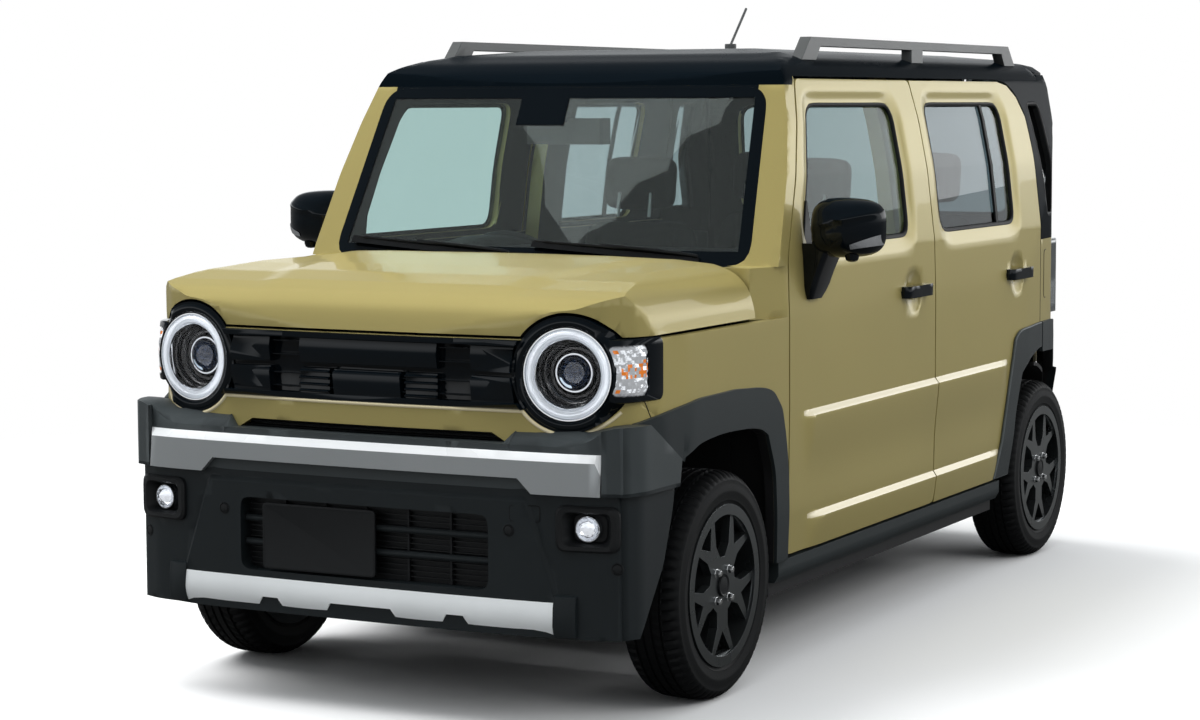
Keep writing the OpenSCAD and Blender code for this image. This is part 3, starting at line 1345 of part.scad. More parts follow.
module knuckle(s) color([0.3, 0.3, 0.31]) side_of(s) let (y = track_front / 2) difference() {
    union() {
        box(aft(knuckle_w / 2), aft(-knuckle_w / 2), y - knuckle_in, y - knuckle_out,
            hub_h - knuckle_low, hub_h + knuckle_w);
        intersection() {
            king_frame() translate([0, 0, lug_low]) cylinder(r = 2 * king_pin_r, h = 3 * knuckle_low);
            box(aft(knuckle_w), aft(-knuckle_w), 0, y - knuckle_out, 0, hub_h - knuckle_low / 2);
        }
        across(front_axle_x, hub_h, y - knuckle_out - over, y + spindle_out, spindle_r);
        intersection() {
            king_frame() cylinder(r = strut_r, h = spring_low - seat_gap);
            box(aft(knuckle_w), aft(-knuckle_w), 0, half_w, tyre_d + over, roof_h);
        }
        box(aft(strut_r / 2), aft(-strut_r / 2), strut_in_y, y - knuckle_out - over,
            hub_h + knuckle_low, hub_h + knuckle_w);
        box(aft(strut_r / 2), aft(-strut_r / 2), strut_in_y, strut_in_y + strut_r, hub_h + knuckle_low,
            tyre_d + 2 * over);
    }
    king_frame() translate([0, 0, -lower_arm_t - over])
        cylinder(r = king_pin_r + run_clear, h = 3 * lower_arm_t + over + side_play);
}
strut_in_y = 525;

// Rear torsion beam with trailing arms, springs and stub spindles
beam_lead = 170;
beam_r = 26;
beam_h = 262;
arm_in_y = 470;
arm_out_y = 516;
arm_low = 235;
arm_top = 290;
stub_out = 50;
rear_spring_lead = 70;
rear_spring_r = 44;
module rear_axle() color([0.2, 0.2, 0.21]) {
    across(rear_axle_x + beam_lead, beam_h, -arm_out_y, arm_out_y, beam_r);
    both_sides() {
        box(back(pillar_t), aft(rear_floor_lead_aft), arm_in_y, arm_out_y, arm_low, arm_top);
        box(back(pillar_t), rear_axle_x + pillar_t, arm_in_y, arm_out_y, arm_low, hub_h + pillar_t);
        across(rear_axle_x, hub_h, arm_in_y, track_rear / 2 - stub_out, 2 * spindle_r);
        across(rear_axle_x, hub_h, arm_in_y, track_rear / 2 + spindle_out, spindle_r);
        translate([rear_axle_x + rear_spring_lead + pillar_t, arm_in_y, arm_top - over])
            cylinder(r = rear_spring_r, h = rear_floor_h - arm_top + over);
    }
}

// Wheels: tyre section and rim section as shares of half width, radii in named sizes
bead_r = bead_d / 2;
flange_r = 205;
barrel_t = 12;
flange_t = 6;
bead_half_w = 74;
dish_in = 48;
dish_out = 72;
rim_hub_r = 72;
cap_r = 30;
disc_r = 125;
disc_in = -16;
disc_t = 12;
spoke_root_share = 0.17;
spoke_neck_share = 0.165;
spoke_fork_share = 0.39;
fork_gap_share = 0.25;
fork_root_share = 0.57;
// Tyre section: radius share from bead to tread, half width share of the section
tyre_shares = [[0.01, 0.89], [0.15, 0.89], [0.32, 0.98], [0.52, 1], [0.74, 0.945], [0.9, 0.82], [1,
    0.62]];
module wheel_frame(x, y, s) side_of(s) translate([x, y, hub_h]) rotate([-90, 0, 0]) children();
module tyre(x, y, s) color([0.08, 0.08, 0.08]) wheel_frame(x, y,
    s) rotate_extrude($fn = 96) let (h = tyre_w / 2, d = hub_h - bead_r)
    polygon(concat([for (q = tyre_shares) [bead_r + q[0] * d, -q[1] * h]],
        [for (q = reversed(tyre_shares)) [bead_r + q[0] * d, q[1] * h]]));
module rim(x, y, s) color([0.25, 0.26, 0.27]) wheel_frame(x, y, s) difference() {
    union() {
        rotate_extrude($fn = 96) polygon([[bead_r - barrel_t, -bead_half_w - flange_t], [flange_r,
            -bead_half_w - flange_t],
            [flange_r, -bead_half_w], [bead_r, -bead_half_w], [bead_r, bead_half_w], [flange_r,
                bead_half_w],
            [flange_r, bead_half_w + flange_t], [bead_r - barrel_t, bead_half_w + flange_t]]);
        translate([0, 0, disc_in]) cylinder(r = rim_hub_r, h = dish_out - disc_in);
        translate([0, 0, disc_in]) cylinder(r = disc_r, h = disc_t);
        translate([0, 0, dish_in]) linear_extrude(dish_out - dish_in) intersection() {
            circle(r = bead_r - barrel_t / 2, $fn = 96);
            for (i = [0:spokes - 1]) rotate(i * 360 / spokes + 90) spoke();
        }
    }
    translate([0, 0, disc_in - over]) cylinder(r = spindle_r + run_clear,
        h = spindle_out - disc_in + over + side_play);
}
module spoke() let (r = bead_r - barrel_t / 2, f = r * fork_root_share) difference() {
    polygon([[0, -r * spoke_root_share], [f, -r * spoke_neck_share], [r, -r * spoke_fork_share], [r,
        r * spoke_fork_share],
        [f, r * spoke_neck_share], [0, r * spoke_root_share]]);
    polygon([[f + barrel_t, 0], [r - barrel_t, -r * fork_gap_share], [r - barrel_t, r * fork_gap_share]]);
}

floor_pan();
pillars();
front_fenders();
quarter_panels();
rear_pillars();
roof();
roof_rails();
cowl();
windscreen();
quarter_glass();
cabin_mirror();
nose_panel();
grille();
front_lamps();
front_bumper();
bumper_bars();
lower_grille();
front_plate();
rear_bumper();
tail_lamps();
claddings();
dashboard();
seats();
engine();
exhaust();
front_suspension();
rear_axle();
hinges();
bonnet();
front_door(1);  // front_door_left
front_door(-1);  // front_door_right
rear_door(1);  // rear_door_left
rear_door(-1);  // rear_door_right
front_glass(1);  // front_glass_left
front_glass(-1);  // front_glass_right
rear_glass(1);  // rear_glass_left
rear_glass(-1);  // rear_glass_right
mirror_arm(1);  // mirror_left
mirror_arm(-1);  // mirror_right
rear_door_arch(1);  // rear_door_arch_left
rear_door_arch(-1);  // rear_door_arch_right
tailgate();
tailgate_glass();
steering_wheel();
knuckle(1);  // knuckle_left
knuckle(-1);  // knuckle_right
tyre(front_axle_x, track_front / 2, 1);  // tyre_fl
tyre(front_axle_x, track_front / 2, -1);  // tyre_fr
tyre(rear_axle_x, track_rear / 2, 1);  // tyre_rl
tyre(rear_axle_x, track_rear / 2, -1);  // tyre_rr
rim(front_axle_x, track_front / 2, 1);  // rim_fl
rim(front_axle_x, track_front / 2, -1);  // rim_fr
rim(rear_axle_x, track_rear / 2, 1);  // rim_rl
rim(rear_axle_x, track_rear / 2, -1);  // rim_rr
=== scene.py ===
import json
import math

import bmesh
import bpy
import numpy as np
from mathutils import Matrix, Vector
from mathutils.bvhtree import BVHTree


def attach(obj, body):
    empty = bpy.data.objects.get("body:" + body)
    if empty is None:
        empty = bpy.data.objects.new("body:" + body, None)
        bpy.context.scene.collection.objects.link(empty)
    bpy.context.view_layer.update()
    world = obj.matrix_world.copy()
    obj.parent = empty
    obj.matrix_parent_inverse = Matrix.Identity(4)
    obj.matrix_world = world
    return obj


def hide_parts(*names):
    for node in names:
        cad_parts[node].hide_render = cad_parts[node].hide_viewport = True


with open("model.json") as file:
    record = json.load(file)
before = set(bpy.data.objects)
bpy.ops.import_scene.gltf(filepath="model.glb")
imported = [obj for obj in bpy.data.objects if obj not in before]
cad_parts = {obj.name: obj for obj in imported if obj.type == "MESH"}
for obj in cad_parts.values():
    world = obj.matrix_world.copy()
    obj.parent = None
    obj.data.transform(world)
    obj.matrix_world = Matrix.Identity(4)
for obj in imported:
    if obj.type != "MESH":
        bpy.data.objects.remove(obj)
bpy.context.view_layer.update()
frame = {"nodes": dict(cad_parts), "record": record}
nodes = frame["nodes"]
scene = bpy.context.scene

# Frame of the car in metres: axles, hub height, half tracks, half widths, belt line and window edges
FX = 1.1375
RX = FX - 2.460
HUB = 0.2895
TRACK_F = 0.6475
TRACK_R = 0.650
HALF_W = 0.727
BUMPER_HALF_W = 0.7225
BELT = 1.090
ROOF_RISE = 0.572
WINDOW_LOW, WINDOW_TOP = 1.107, 1.497
SIDES = ((1, "left"), (-1, "right"))
BOTH = (True, True)
ROUND = np.radians(np.linspace(0, 360, 97)[:-1])


def A(d):
    """x of a point d millimetres behind the front axle."""
    return FX - d / 1000


BODY_OF = {n: b for b, ns in frame["record"]["behaviour"]["bodies"].items() for n in ns}
SLOT_OF = {s["node"]: s["material_slot"] for s in frame["record"]["subparts"]}

# Camera, from the photograph's perspective
cam_data = bpy.data.cameras.new("camera")
cam = bpy.data.objects.new("camera", cam_data)
scene.collection.objects.link(cam)
scene.camera = cam
CAM_AT = Vector((6.116 + FX, 3.592, 1.497))
YAW, PITCH, ROLL = math.radians(-152.803), math.radians(-4.889), math.radians(-0.165)
ahead = Vector((math.cos(YAW) * math.cos(PITCH), math.sin(YAW) * math.cos(PITCH), math.sin(PITCH)))
right = ahead.cross(Vector((0, 0, 1))).normalized()
up = right.cross(ahead)
r2 = right * math.cos(ROLL) + up * math.sin(ROLL)
u2 = up * math.cos(ROLL) - right * math.sin(ROLL)
cam.matrix_world = Matrix.Translation(CAM_AT) @ Matrix((r2, u2, -ahead)).transposed().to_4x4()
cam_data.sensor_width = 36
cam_data.lens = 81.54
cam_data.shift_x = -0.0218
cam_data.shift_y = -0.0203
cam_data.clip_end = 200


def node(tree, kind, operation=None, **values):
    """A new shader node with its operation and constant inputs."""
    n = tree.nodes.new("ShaderNode" + kind)
    if operation:
        n.operation = operation
    for key, value in values.items():
        n.inputs[key.replace("_", " ")].default_value = value
    return n


def link(tree, *pairs):
    for a, b in pairs:
        tree.links.new(a, b)


# Light and world: one sky for the light, a band for reflections, plain white for the camera
scene.view_settings.view_transform = "Standard"
world = bpy.data.worlds.new("studio")
scene.world = world
world.use_nodes = True
wt = world.node_tree
wt.nodes.clear()
w_out = node(wt, "OutputWorld")
w_mix = node(wt, "MixShader")
w_lit = node(wt, "Background", Color=(0.95, 0.98, 1, 1))
w_seen = node(wt, "Background", Color=(1, 1, 1, 1))
w_path = node(wt, "LightPath")
w_max = node(wt, "Math", "MAXIMUM")
w_co = node(wt, "TexCoord")
w_sep = node(wt, "SeparateXYZ")
w_ramp = node(wt, "ValToRGB")
w_band = node(wt, "ValToRGB")
w_pick = node(wt, "MixRGB")
w_two = node(wt, "Math", "MULTIPLY")
w_two.inputs[1].default_value = 2.0
# strength by the sine of the elevation, halved because a ramp ends at 1
SKY = ((0.0, 0.05), (0.08, 0.10), (0.26, 0.42), (0.55, 0.95), (1.0, 1.05))
BAND = ((0.0, 0.50), (0.03, 1.10), (0.13, 1.40), (0.22, 1.00), (0.31, 0.30), (0.55, 0.16), (1.0, 0.12))
for ramp, table in ((w_ramp, SKY), (w_band, BAND)):
    stops = ramp.color_ramp.elements
    for pos, v in table:
        e = stops[0] if pos == 0 else stops[-1] if pos == 1 else stops.new(pos)
        e.position = pos
        e.color = (v / 2, v / 2, v / 2, 1)
    link(wt, (w_sep.outputs["Z"], ramp.inputs["Fac"]))
link(wt, (w_co.outputs["Generated"], w_sep.inputs[0]), (w_path.outputs["Is Glossy Ray"], w_pick.inputs["Fac"]),
    (w_ramp.outputs["Color"], w_pick.inputs[1]), (w_band.outputs["Color"], w_pick.inputs[2]),
    (w_pick.outputs[0], w_two.inputs[0]), (w_two.outputs[0], w_lit.inputs["Strength"]),
    (w_path.outputs["Is Camera Ray"], w_max.inputs[0]), (w_path.outputs["Is Transmission Ray"], w_max.inputs[1]),
    (w_max.outputs[0], w_mix.inputs[0]), (w_lit.outputs[0], w_mix.inputs[1]), (w_seen.outputs[0], w_mix.inputs[2]),
    (w_mix.outputs[0], w_out.inputs[0]))


def lamp(kind, name, at, aim, energy, size=1.0, size_y=None, gloss=True):
    """A sun (size is its angle) or a rectangular lamp, hidden from the camera."""
    d = bpy.data.lights.new(name, kind)
    d.energy = energy
    if kind == "AREA":
        d.shape = "RECTANGLE"
        d.size, d.size_y = size, size_y or size
    else:
        d.angle = size
    o = bpy.data.objects.new(name, d)
    o.location = at
    o.rotation_euler = (Vector(aim) - Vector(at)).to_track_quat("-Z", "Y").to_euler()
    o.visible_glossy = gloss
    o.visible_camera = False
    scene.collection.objects.link(o)


lamp("SUN", "key", (0.4, -6.0, 8), (0.2, 0, 0), 2.2, math.radians(40), gloss=False)
lamp("AREA", "overhead", (0.9, -1.4, 4.4), (0.5, 0, 1), 70, 4.5, 2.2, gloss=False)
lamp("AREA", "left_fill", (1.2, 6.2, 4.3), (0, 0, 0.9), 100, 5.0, 2.2, gloss=False)
lamp("AREA", "left_strip", (-5.6, 4.3, 2.5), (0, 0.6, 1.2), 60, 6.0, 2.0)


# Materials
def mat(name, color, rough=0.5, metal=0.0, coat=0.0, coat_rough=0.03, var=0.06, var_scale=3.0, bump=0.0,
        bump_scale=900.0, spec=0.5, trans=0.0, ior=1.45, glow=None, glow_strength=1.0, sheen=0.0, rough_var=0.04,
        kind="noise"):
    """A material with mottled colour and roughness, and a grained or cellular bump."""
    m = bpy.data.materials.new(name)
    m.use_nodes = True
    nt = m.node_tree
    b = nt.nodes["Principled BSDF"]
    values = {"Metallic": metal, "Coat Weight": coat, "Coat Roughness": coat_rough, "Specular IOR Level": spec,
        "Transmission Weight": trans, "IOR": ior, "Sheen Weight": sheen}
    if glow:
        values.update({"Emission Color": (*glow, 1), "Emission Strength": glow_strength})
    for key, value in values.items():
        b.inputs[key].default_value = value
    co = node(nt, "TexCoord")
    mottle = node(nt, "TexNoise", Scale=var_scale, Detail=4)
    ramp = node(nt, "ValToRGB")
    for stop, pos, share in zip(ramp.color_ramp.elements, (0.3, 0.7), (1 - var, 1 + var)):
        stop.position = pos
        stop.color = (*[min(1, c * share) for c in color], 1)
    gloss = node(nt, "MapRange", To_Min=max(0, rough - rough_var), To_Max=min(1, rough + rough_var))
    link(nt, (co.outputs["Object"], mottle.inputs["Vector"]), (mottle.outputs["Fac"], ramp.inputs["Fac"]),
        (ramp.outputs["Color"], b.inputs["Base Color"]), (mottle.outputs["Fac"], gloss.inputs["Value"]),
        (gloss.outputs["Result"], b.inputs["Roughness"]))
    if bump:
        grain = node(nt, "TexVoronoi" if kind == "voronoi" else "TexNoise", Scale=bump_scale)
        raised = node(nt, "Bump", Strength=bump, Distance=0.001)
        link(nt, (co.outputs["Object"], grain.inputs["Vector"]), (grain.outputs[0], raised.inputs["Height"]),
            (raised.outputs["Normal"], b.inputs["Normal"]))
    return m


def flake(m, scale, amount):
    """Adds metallic flake to a paint's colour."""
    nt = m.node_tree
    base = nt.nodes["Principled BSDF"].inputs["Base Color"]
    co = node(nt, "TexCoord")
    cells = node(nt, "TexVoronoi", Scale=scale)
    mix = node(nt, "MixRGB", Fac=amount)
    mix.blend_type = "OVERLAY"
    link(nt, (co.outputs["Object"], cells.inputs["Vector"]), (base.links[0].from_socket, mix.inputs[1]),
        (cells.outputs["Color"], mix.inputs[2]), (mix.outputs[0], base))
    return m


M = {
    "paint": flake(mat("paint", (0.45, 0.376, 0.140), 0.40, 0.30, 0.40, 0.03, 0.03, 1.5, spec=0.2), 2600.0, 0.06),
    # edge: the body paint made lighter and given a glow, a painted highlight on the door ledges and the nose lip
    "edge": mat("paint_highlight", (0.70, 0.62, 0.40), 0.35, 0.1, 0.5, 0.03, 0.03, 4.0, glow=(0.7, 0.62, 0.42),
          glow_strength=0.12),
    "roof": mat("roof_black", (0.0025, 0.005, 0.0075), 0.26, 0.0, 0.0, 0.02, 0.1, 2.0, spec=0.012),
    "black": mat("gloss_black", (0.0025, 0.005, 0.0075), 0.10, 0.0, 0.0, 0.02, 0.1, 2.0, spec=0.3),
    "plastic": mat("grey_plastic", (0.011, 0.015, 0.017), 0.52, 0.0, 0.0, 0.03, 0.08, 6.0, 0.25, 1400.0, 0.32),
    "cladding": mat("cladding_plastic", (0.022, 0.028, 0.030), 0.52, 0.0, 0.0, 0.03, 0.08, 6.0, 0.25, 1400.0, 0.34),
    # flare: lighter grey plastic, a painted highlight on the up-facing faces of arches, sills and the bumper's cap;
    # also the skid recesses
    "flare": mat("flare_plastic", (0.044, 0.053, 0.056), 0.46, 0.0, 0.0, 0.03, 0.08, 6.0, 0.25, 1400.0, 0.45),
    # lighter grey for the rounded edges of arches and sills: a painted highlight
    "clad_highlight": mat("plastic_edge_highlight", (0.080, 0.092, 0.094), 0.42, 0.0, 0.0, 0.03, 0.10, 14.0, 0.2, 1400.0, 0.45),
    # skid: a light silver whose glow is painted light
    "skid": flake(mat("bright_skid", (0.86, 0.89, 0.90), 0.34, 0.05, 0.2, 0.1, 0.04, 5.0, glow=(0.8, 0.84, 0.86),
                      glow_strength=0.07), 3200.0, 0.08),
    # bar_edge: lighter silver with a glow, a painted highlight on the bar's upper edge and rounded edges
    "bar_edge": flake(mat("bar_edge_highlight", (0.86, 0.88, 0.89), 0.28, 0.05, 0.3, 0.1, 0.03, 5.0, glow=(0.9, 0.93,
          0.95),
                          glow_strength=0.12), 3200.0, 0.06),
    "dark": mat("dark_plastic", (0.006, 0.007, 0.008), 0.5, 0, 0, 0.03, 0.1, 5.0, 0.2, 1200.0, 0.35),
    "rail": mat("rail_grey", (0.095, 0.100, 0.100), 0.42, 0.15, 0.1, 0.1, 0.06, 6.0, 0.12, 1300.0, 0.45),
    "smoke": mat("smoked_lens", (0.10, 0.11, 0.115), 0.10, 0.1, 0.4, 0.03, 0.1, 30.0, 0.2, 220.0, kind="voronoi"),
    "rubber": mat("seal_rubber", (0.004, 0.0045, 0.005), 0.55, 0, 0, 0.03, 0.1, 9.0, 0.2, 700.0, 0.35),
    "silver": flake(mat("silver_paint", (0.40, 0.42, 0.43), 0.34, 0.45, 0.2, 0.1, 0.03, 3.0), 3200.0, 0.08),
    "chrome": mat("chrome", (0.8, 0.81, 0.82), 0.08, 1.0, 0, 0.03, 0.03, 4.0),
    "glass": mat("screen_glass", (0.82, 0.94, 0.92), 0.0, 0, 0, 0.0, 0.01, 2.0, trans=1.0, rough_var=0.0),
    "tint": mat("tint_glass", (0.45, 0.585, 0.575), 0.0, 0, 0, 0.0, 0.01, 2.0, trans=1.0, ior=1.14, rough_var=0.0),
    "privacy": mat("privacy_glass", (0.28, 0.34, 0.36), 0.0, 0, 0, 0.0, 0.01, 2.0, trans=1.0, ior=1.20, rough_var=0.0),
    "quarter": mat("quarter_glass", (0.28, 0.34, 0.36), 0.0, 0, 0, 0.0, 0.01, 2.0, trans=1.0, ior=1.5, rough_var=0.0),
    "lens": mat("clear_lens", (0.97, 0.98, 0.99), 0.0, 0, 0.12, 0.0, 0.01, 2.0, trans=1.0, ior=1.08, rough_var=0.0),
    "ring": mat("lamp_ring", (0.78, 0.81, 0.86), 0.22, 0.3, 0.6, 0.03, 0.05, 30.0, glow=(0.85, 0.92, 1),
                glow_strength=0.16),
    "bulb": mat("orange_bulb", (0.80, 0.20, 0.02), 0.2, 0.0, 0.6, 0.03, 0.05, 20.0, glow=(0.9, 0.25, 0.02),
                glow_strength=0.25),
    "crystal": mat("turn_facets", (0.80, 0.82, 0.85), 0.10, 0.55, 1.0, 0.02, 0.12, 60.0, 0.5, 150.0,
                   glow=(0.9, 0.93, 1), glow_strength=0.10, kind="voronoi"),
    "blue": mat("projector", (0.006, 0.014, 0.035), 0.04, 0.2, 1.0, 0.02, 0.3, 25.0),
    # a glowing crescent for the projector lens: a painted reflection
    "spark": mat("lamp_painted_glint", (0.75, 0.85, 1.0), 0.1, 0.3, 1.0, 0.02, 0.1, 50.0, glow=(0.7, 0.85, 1),
                 glow_strength=0.7),
    "bowl": mat("lamp_bowl", (0.006, 0.0065, 0.008), 0.25, 0.3, 0.3, 0.03, 0.2, 30.0, 0.12, 45.0, kind="voronoi"),
    "facet": mat("lamp_facets", (0.72, 0.74, 0.78), 0.12, 0.95, 0.3, 0.03, 0.1, 40.0, 0.9, 110.0, kind="voronoi"),
    "red": mat("red_lens", (0.30, 0.010, 0.010), 0.12, 0, 0.8, 0.03, 0.08, 30.0, 0.15, 260.0, kind="voronoi"),
    "tyre": mat("tyre_rubber", (0.0035, 0.004, 0.0045), 0.60, 0, 0, 0.03, 0.15, 12.0, 0.3, 500.0, 0.25),
    "rim": flake(mat("gunmetal", (0.11, 0.12, 0.124), 0.28, 0.9, 0.35, 0.05, 0.05, 6.0), 3000.0, 0.06),
    # rim_edge: lighter metal for the rims' rounded edges, a machined finish and a painted highlight
    "rim_edge": mat("machined_edge_and_highlight", (0.34, 0.36, 0.37), 0.25, 0.8, 0.3, 0.05, 0.05, 12.0),
    "steel": mat("bare_steel", (0.42, 0.42, 0.43), 0.35, 0.9, 0, 0.03, 0.12, 14.0, 0.1, 300.0),
    "under": mat("under_coat", (0.010, 0.010, 0.011), 0.6, 0.1, 0, 0.03, 0.2, 5.0, 0.3, 260.0),
    "cast": mat("cast_metal", (0.12, 0.12, 0.125), 0.5, 0.8, 0, 0.03, 0.15, 9.0, 0.3, 180.0),
    "cabin": mat("cabin_plastic", (0.007, 0.009, 0.010), 0.6, 0, 0, 0.03, 0.1, 8.0, 0.04, 500.0, 0.22),
    "fabric": mat("seat_fabric", (0.009, 0.011, 0.012), 0.9, 0, 0, 0.03, 0.14, 160.0, 0.10, 420.0, 0.12, sheen=0.06,
                  kind="voronoi"),
    "mirror": mat("mirror_glass", (0.7, 0.72, 0.74), 0.03, 1.0, 0, 0.03, 0.02, 2.0),
    "floor": mat("floor", (0.9, 0.9, 0.9), 0.9, 0, 0, 0.03, 0.005, 0.5, spec=0.0),
}

# The floor: bright to the camera, dim to the car, and plain white far away
ft = M["floor"].node_tree
f_bsdf = ft.nodes["Principled BSDF"]
f_base = f_bsdf.inputs["Base Color"]
f_path = node(ft, "LightPath")
f_mix = node(ft, "MixRGB")
f_mix.inputs[1].default_value = (0.12, 0.12, 0.118, 1)
f_seen = node(ft, "Math", "MAXIMUM")
f_co = node(ft, "TexCoord")
f_len = node(ft, "VectorMath", "LENGTH")
f_far = node(ft, "MapRange", From_Min=2.6, From_Max=5.0)
f_glow = node(ft, "Emission")
f_mul = node(ft, "Math", "MULTIPLY")
f_blend = node(ft, "MixShader")
link(ft, (f_path.outputs["Is Camera Ray"], f_seen.inputs[0]),
    (f_path.outputs["Is Transmission Ray"], f_seen.inputs[1]), (f_seen.outputs[0], f_mix.inputs["Fac"]),
    (f_base.links[0].from_socket, f_mix.inputs[2]), (f_mix.outputs[0], f_base),
    (f_co.outputs["Object"], f_len.inputs[0]), (f_len.outputs["Value"], f_far.inputs["Value"]),
    (f_far.outputs["Result"], f_mul.inputs[0]), (f_seen.outputs[0], f_mul.inputs[1]),
    (f_mul.outputs[0], f_blend.inputs[0]), (f_bsdf.outputs[0], f_blend.inputs[1]),
    (f_glow.outputs[0], f_blend.inputs[2]), (f_blend.outputs[0], ft.nodes["Material Output"].inputs["Surface"]))

bpy.ops.mesh.primitive_plane_add(size=160)
ground = bpy.context.object
ground.name = "ground"
ground.data.materials.append(M["floor"])

SLOT_MAT = {"body_paint": "paint", "gloss_black": "black", "grey_plastic": "plastic", "window_glass": "glass",
            "silver_paint": "silver", "lamp_glass": "lens", "red_lens": "red", "tyre_rubber": "tyre",
            "wheel_alloy": "rim", "seat_fabric": "fabric", "cabin_plastic": "cabin", "engine_metal": "cast",
            "bare_steel": "steel", "under_steel": "under"}
for n, o in nodes.items():
    o.data.materials.clear()
    o.data.materials.append(M[SLOT_MAT[SLOT_OF[n]]])
    o.data.shade_smooth()
    o.data.set_sharp_from_angle(angle=math.radians(32))


# Mesh helpers
def add(name, bm, mats, body, bevel=0.0, smooth=35.0):
    """Makes a bmesh a piece that rides on a body: materials, sharp edges, rounded edges."""
    me = bpy.data.meshes.new(name)
    bm.normal_update()
    bm.to_mesh(me)
    bm.free()
    for m in mats if isinstance(mats, (list, tuple)) else [mats]:
        me.materials.append(M[m])
    o = bpy.data.objects.new(name, me)
    scene.collection.objects.link(o)
    me.shade_smooth()
    me.set_sharp_from_angle(angle=math.radians(smooth))
    if bevel:
        b = o.modifiers.new("bevel", "BEVEL")
        b.width = bevel
        b.segments = 2
        b.limit_method = "ANGLE"
        b.angle_limit = math.radians(smooth)
        b.harden_normals = True
        b.use_clamp_overlap = True
    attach(o, body)
    return o


def grid_cuts(bm, steps, extra=()):
    """Cuts a mesh along the planes of a grid and along extra planes (point, normal)."""
    co = np.array([v.co for v in bm.verts])
    lo, hi = co.min(0), co.max(0)
    planes = list(extra)
    for ax in range(3):
        if not steps[ax]:
            continue
        k0, k1 = math.ceil(lo[ax] / steps[ax]), math.floor(hi[ax] / steps[ax])
        for k in range(k0, k1 + 1):
            c, n = [0, 0, 0], [0, 0, 0]
            c[ax], n[ax] = k * steps[ax], 1
            planes.append((c, n))
    for c, n in planes:
        geom = bm.verts[:] + bm.edges[:] + bm.faces[:]
        bmesh.ops.bisect_plane(bm, geom=geom, dist=2e-5, plane_co=c, plane_no=n)


def relax(bm, angle=30.0, passes=14, line_turn=60.0):
    """Rounds facets: smooths free points, and points along sharp lines only along the line."""
    bm.normal_update()
    bm.verts.index_update()
    n = len(bm.verts)
    co = np.array([v.co for v in bm.verts])
    lim = math.radians(angle)
    sharp = []
    soft = []
    for e in bm.edges:
        is_sharp = len(e.link_faces) != 2 or e.calc_face_angle(0) > lim
        (sharp if is_sharp else soft).append((e.verts[0].index, e.verts[1].index))
    sharp = np.array(sharp, int).reshape(-1, 2)
    soft = np.array(soft, int).reshape(-1, 2)
    deg = np.bincount(sharp.ravel(), minlength=n)
    line = np.zeros(n, bool)
    ends = [[] for _ in range(n)]
    for a, b in sharp:
        ends[a].append(b)
        ends[b].append(a)
    for i in np.nonzero(deg == 2)[0]:
        u = co[ends[i][0]] - co[i]
        v = co[ends[i][1]] - co[i]
        c = -u.dot(v) / max(1e-12, np.linalg.norm(u) * np.linalg.norm(v))
        line[i] = c > math.cos(math.radians(line_turn))
    free = deg == 0
    e_free = soft[(free[soft[:, 0]]) | (free[soft[:, 1]])]
    for k in range(passes * 2):
        w = 0.5 if k % 2 == 0 else -0.52
        for edges, mask in ((e_free, free), (sharp, line)):
            s = np.zeros((n, 3))
            d = np.zeros(n)
            for a, b in ((0, 1), (1, 0)):
                np.add.at(s, edges[:, a], co[edges[:, b]])
                np.add.at(d, edges[:, a], 1)
            m = mask & (d > 0)
            co[m] += w * (s[m] / d[m][:, None] - co[m])
    for v, c in zip(bm.verts, co):
        v.co = c


def node_bm(name, merge=True):
    """A node's mesh with its doubled points joined and, if merge, its flat facets too."""
    bm = bmesh.new()
    bm.from_mesh(nodes[name].data)
    bmesh.ops.remove_doubles(bm, verts=bm.verts, dist=2e-5)
    if merge:
        bmesh.ops.dissolve_limit(bm, angle_limit=math.radians(0.2), use_dissolve_boundaries=False, verts=bm.verts,
            edges=bm.edges)
    return bm


def panel(name, mats, steps=(0.03, 0.03, 0.03), extra=(), shape=None, passes=14, bevel=0.0022, tone=None,
        angle=30.0, merge=True):
    """A finely cut, rounded copy of a CAD panel that stands for it."""
    bm = node_bm(name, merge)
    grid_cuts(bm, steps, extra)
    if shape:
        bm.normal_update()
        shape(bm)
    relax(bm, angle, passes)
    if tone:
        bm.normal_update()
        for f in bm.faces:
            c = f.calc_center_median()
            f.material_index = tone(c, f.normal, math.copysign(1, c.y)) or 0
    o = add(name + "_skin", bm, mats, BODY_OF[name], bevel)
    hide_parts(name)
    return o


def revolve(name, profile, at, axis, mats, body, seg=64, bevel=0.0, smooth=35.0):
    """A turned piece: profile of (radius, along) round an axis from a point."""
    bm = bmesh.new()
    a = Vector(axis).normalized()
    q = Vector((0, 0, 1)).rotation_difference(a)
    rings = []
    for r, h in profile:
        if r < 1e-6:
            rings.append([bm.verts.new(Vector(at) + a * h)])
        else:
            rings.append([bm.verts.new(Vector(at) + q @ Vector((r * math.cos(t), r * math.sin(t), h)))
                for t in (2 * math.pi * k / seg for k in range(seg))])
    for p, s in zip(rings, rings[1:]):
        if len(p) == len(s) == 1:
            continue
        for k in range(seg):
            j = (k + 1) % seg
            if len(p) == 1:
                bm.faces.new((p[0], s[j], s[k]))
            elif len(s) == 1:
                bm.faces.new((p[k], p[j], s[0]))
            else:
                bm.faces.new((p[k], p[j], s[j], s[k]))
    bmesh.ops.recalc_face_normals(bm, faces=bm.faces)
    return add(name, bm, mats, body, bevel, smooth)


def blocks(name, boxes, mats, body, bevel=0.0015):
    """Rounded bars or blocks, each given by its two corners."""
    bm = bmesh.new()
    for lo, hi in boxes:
        c = bmesh.ops.create_cube(bm, size=1)["verts"]
        bmesh.ops.scale(bm, vec=Vector(hi) - Vector(lo), verts=c)
        bmesh.ops.translate(bm, vec=(Vector(hi) + Vector(lo)) / 2, verts=c)
    return add(name, bm, mats, body, bevel)


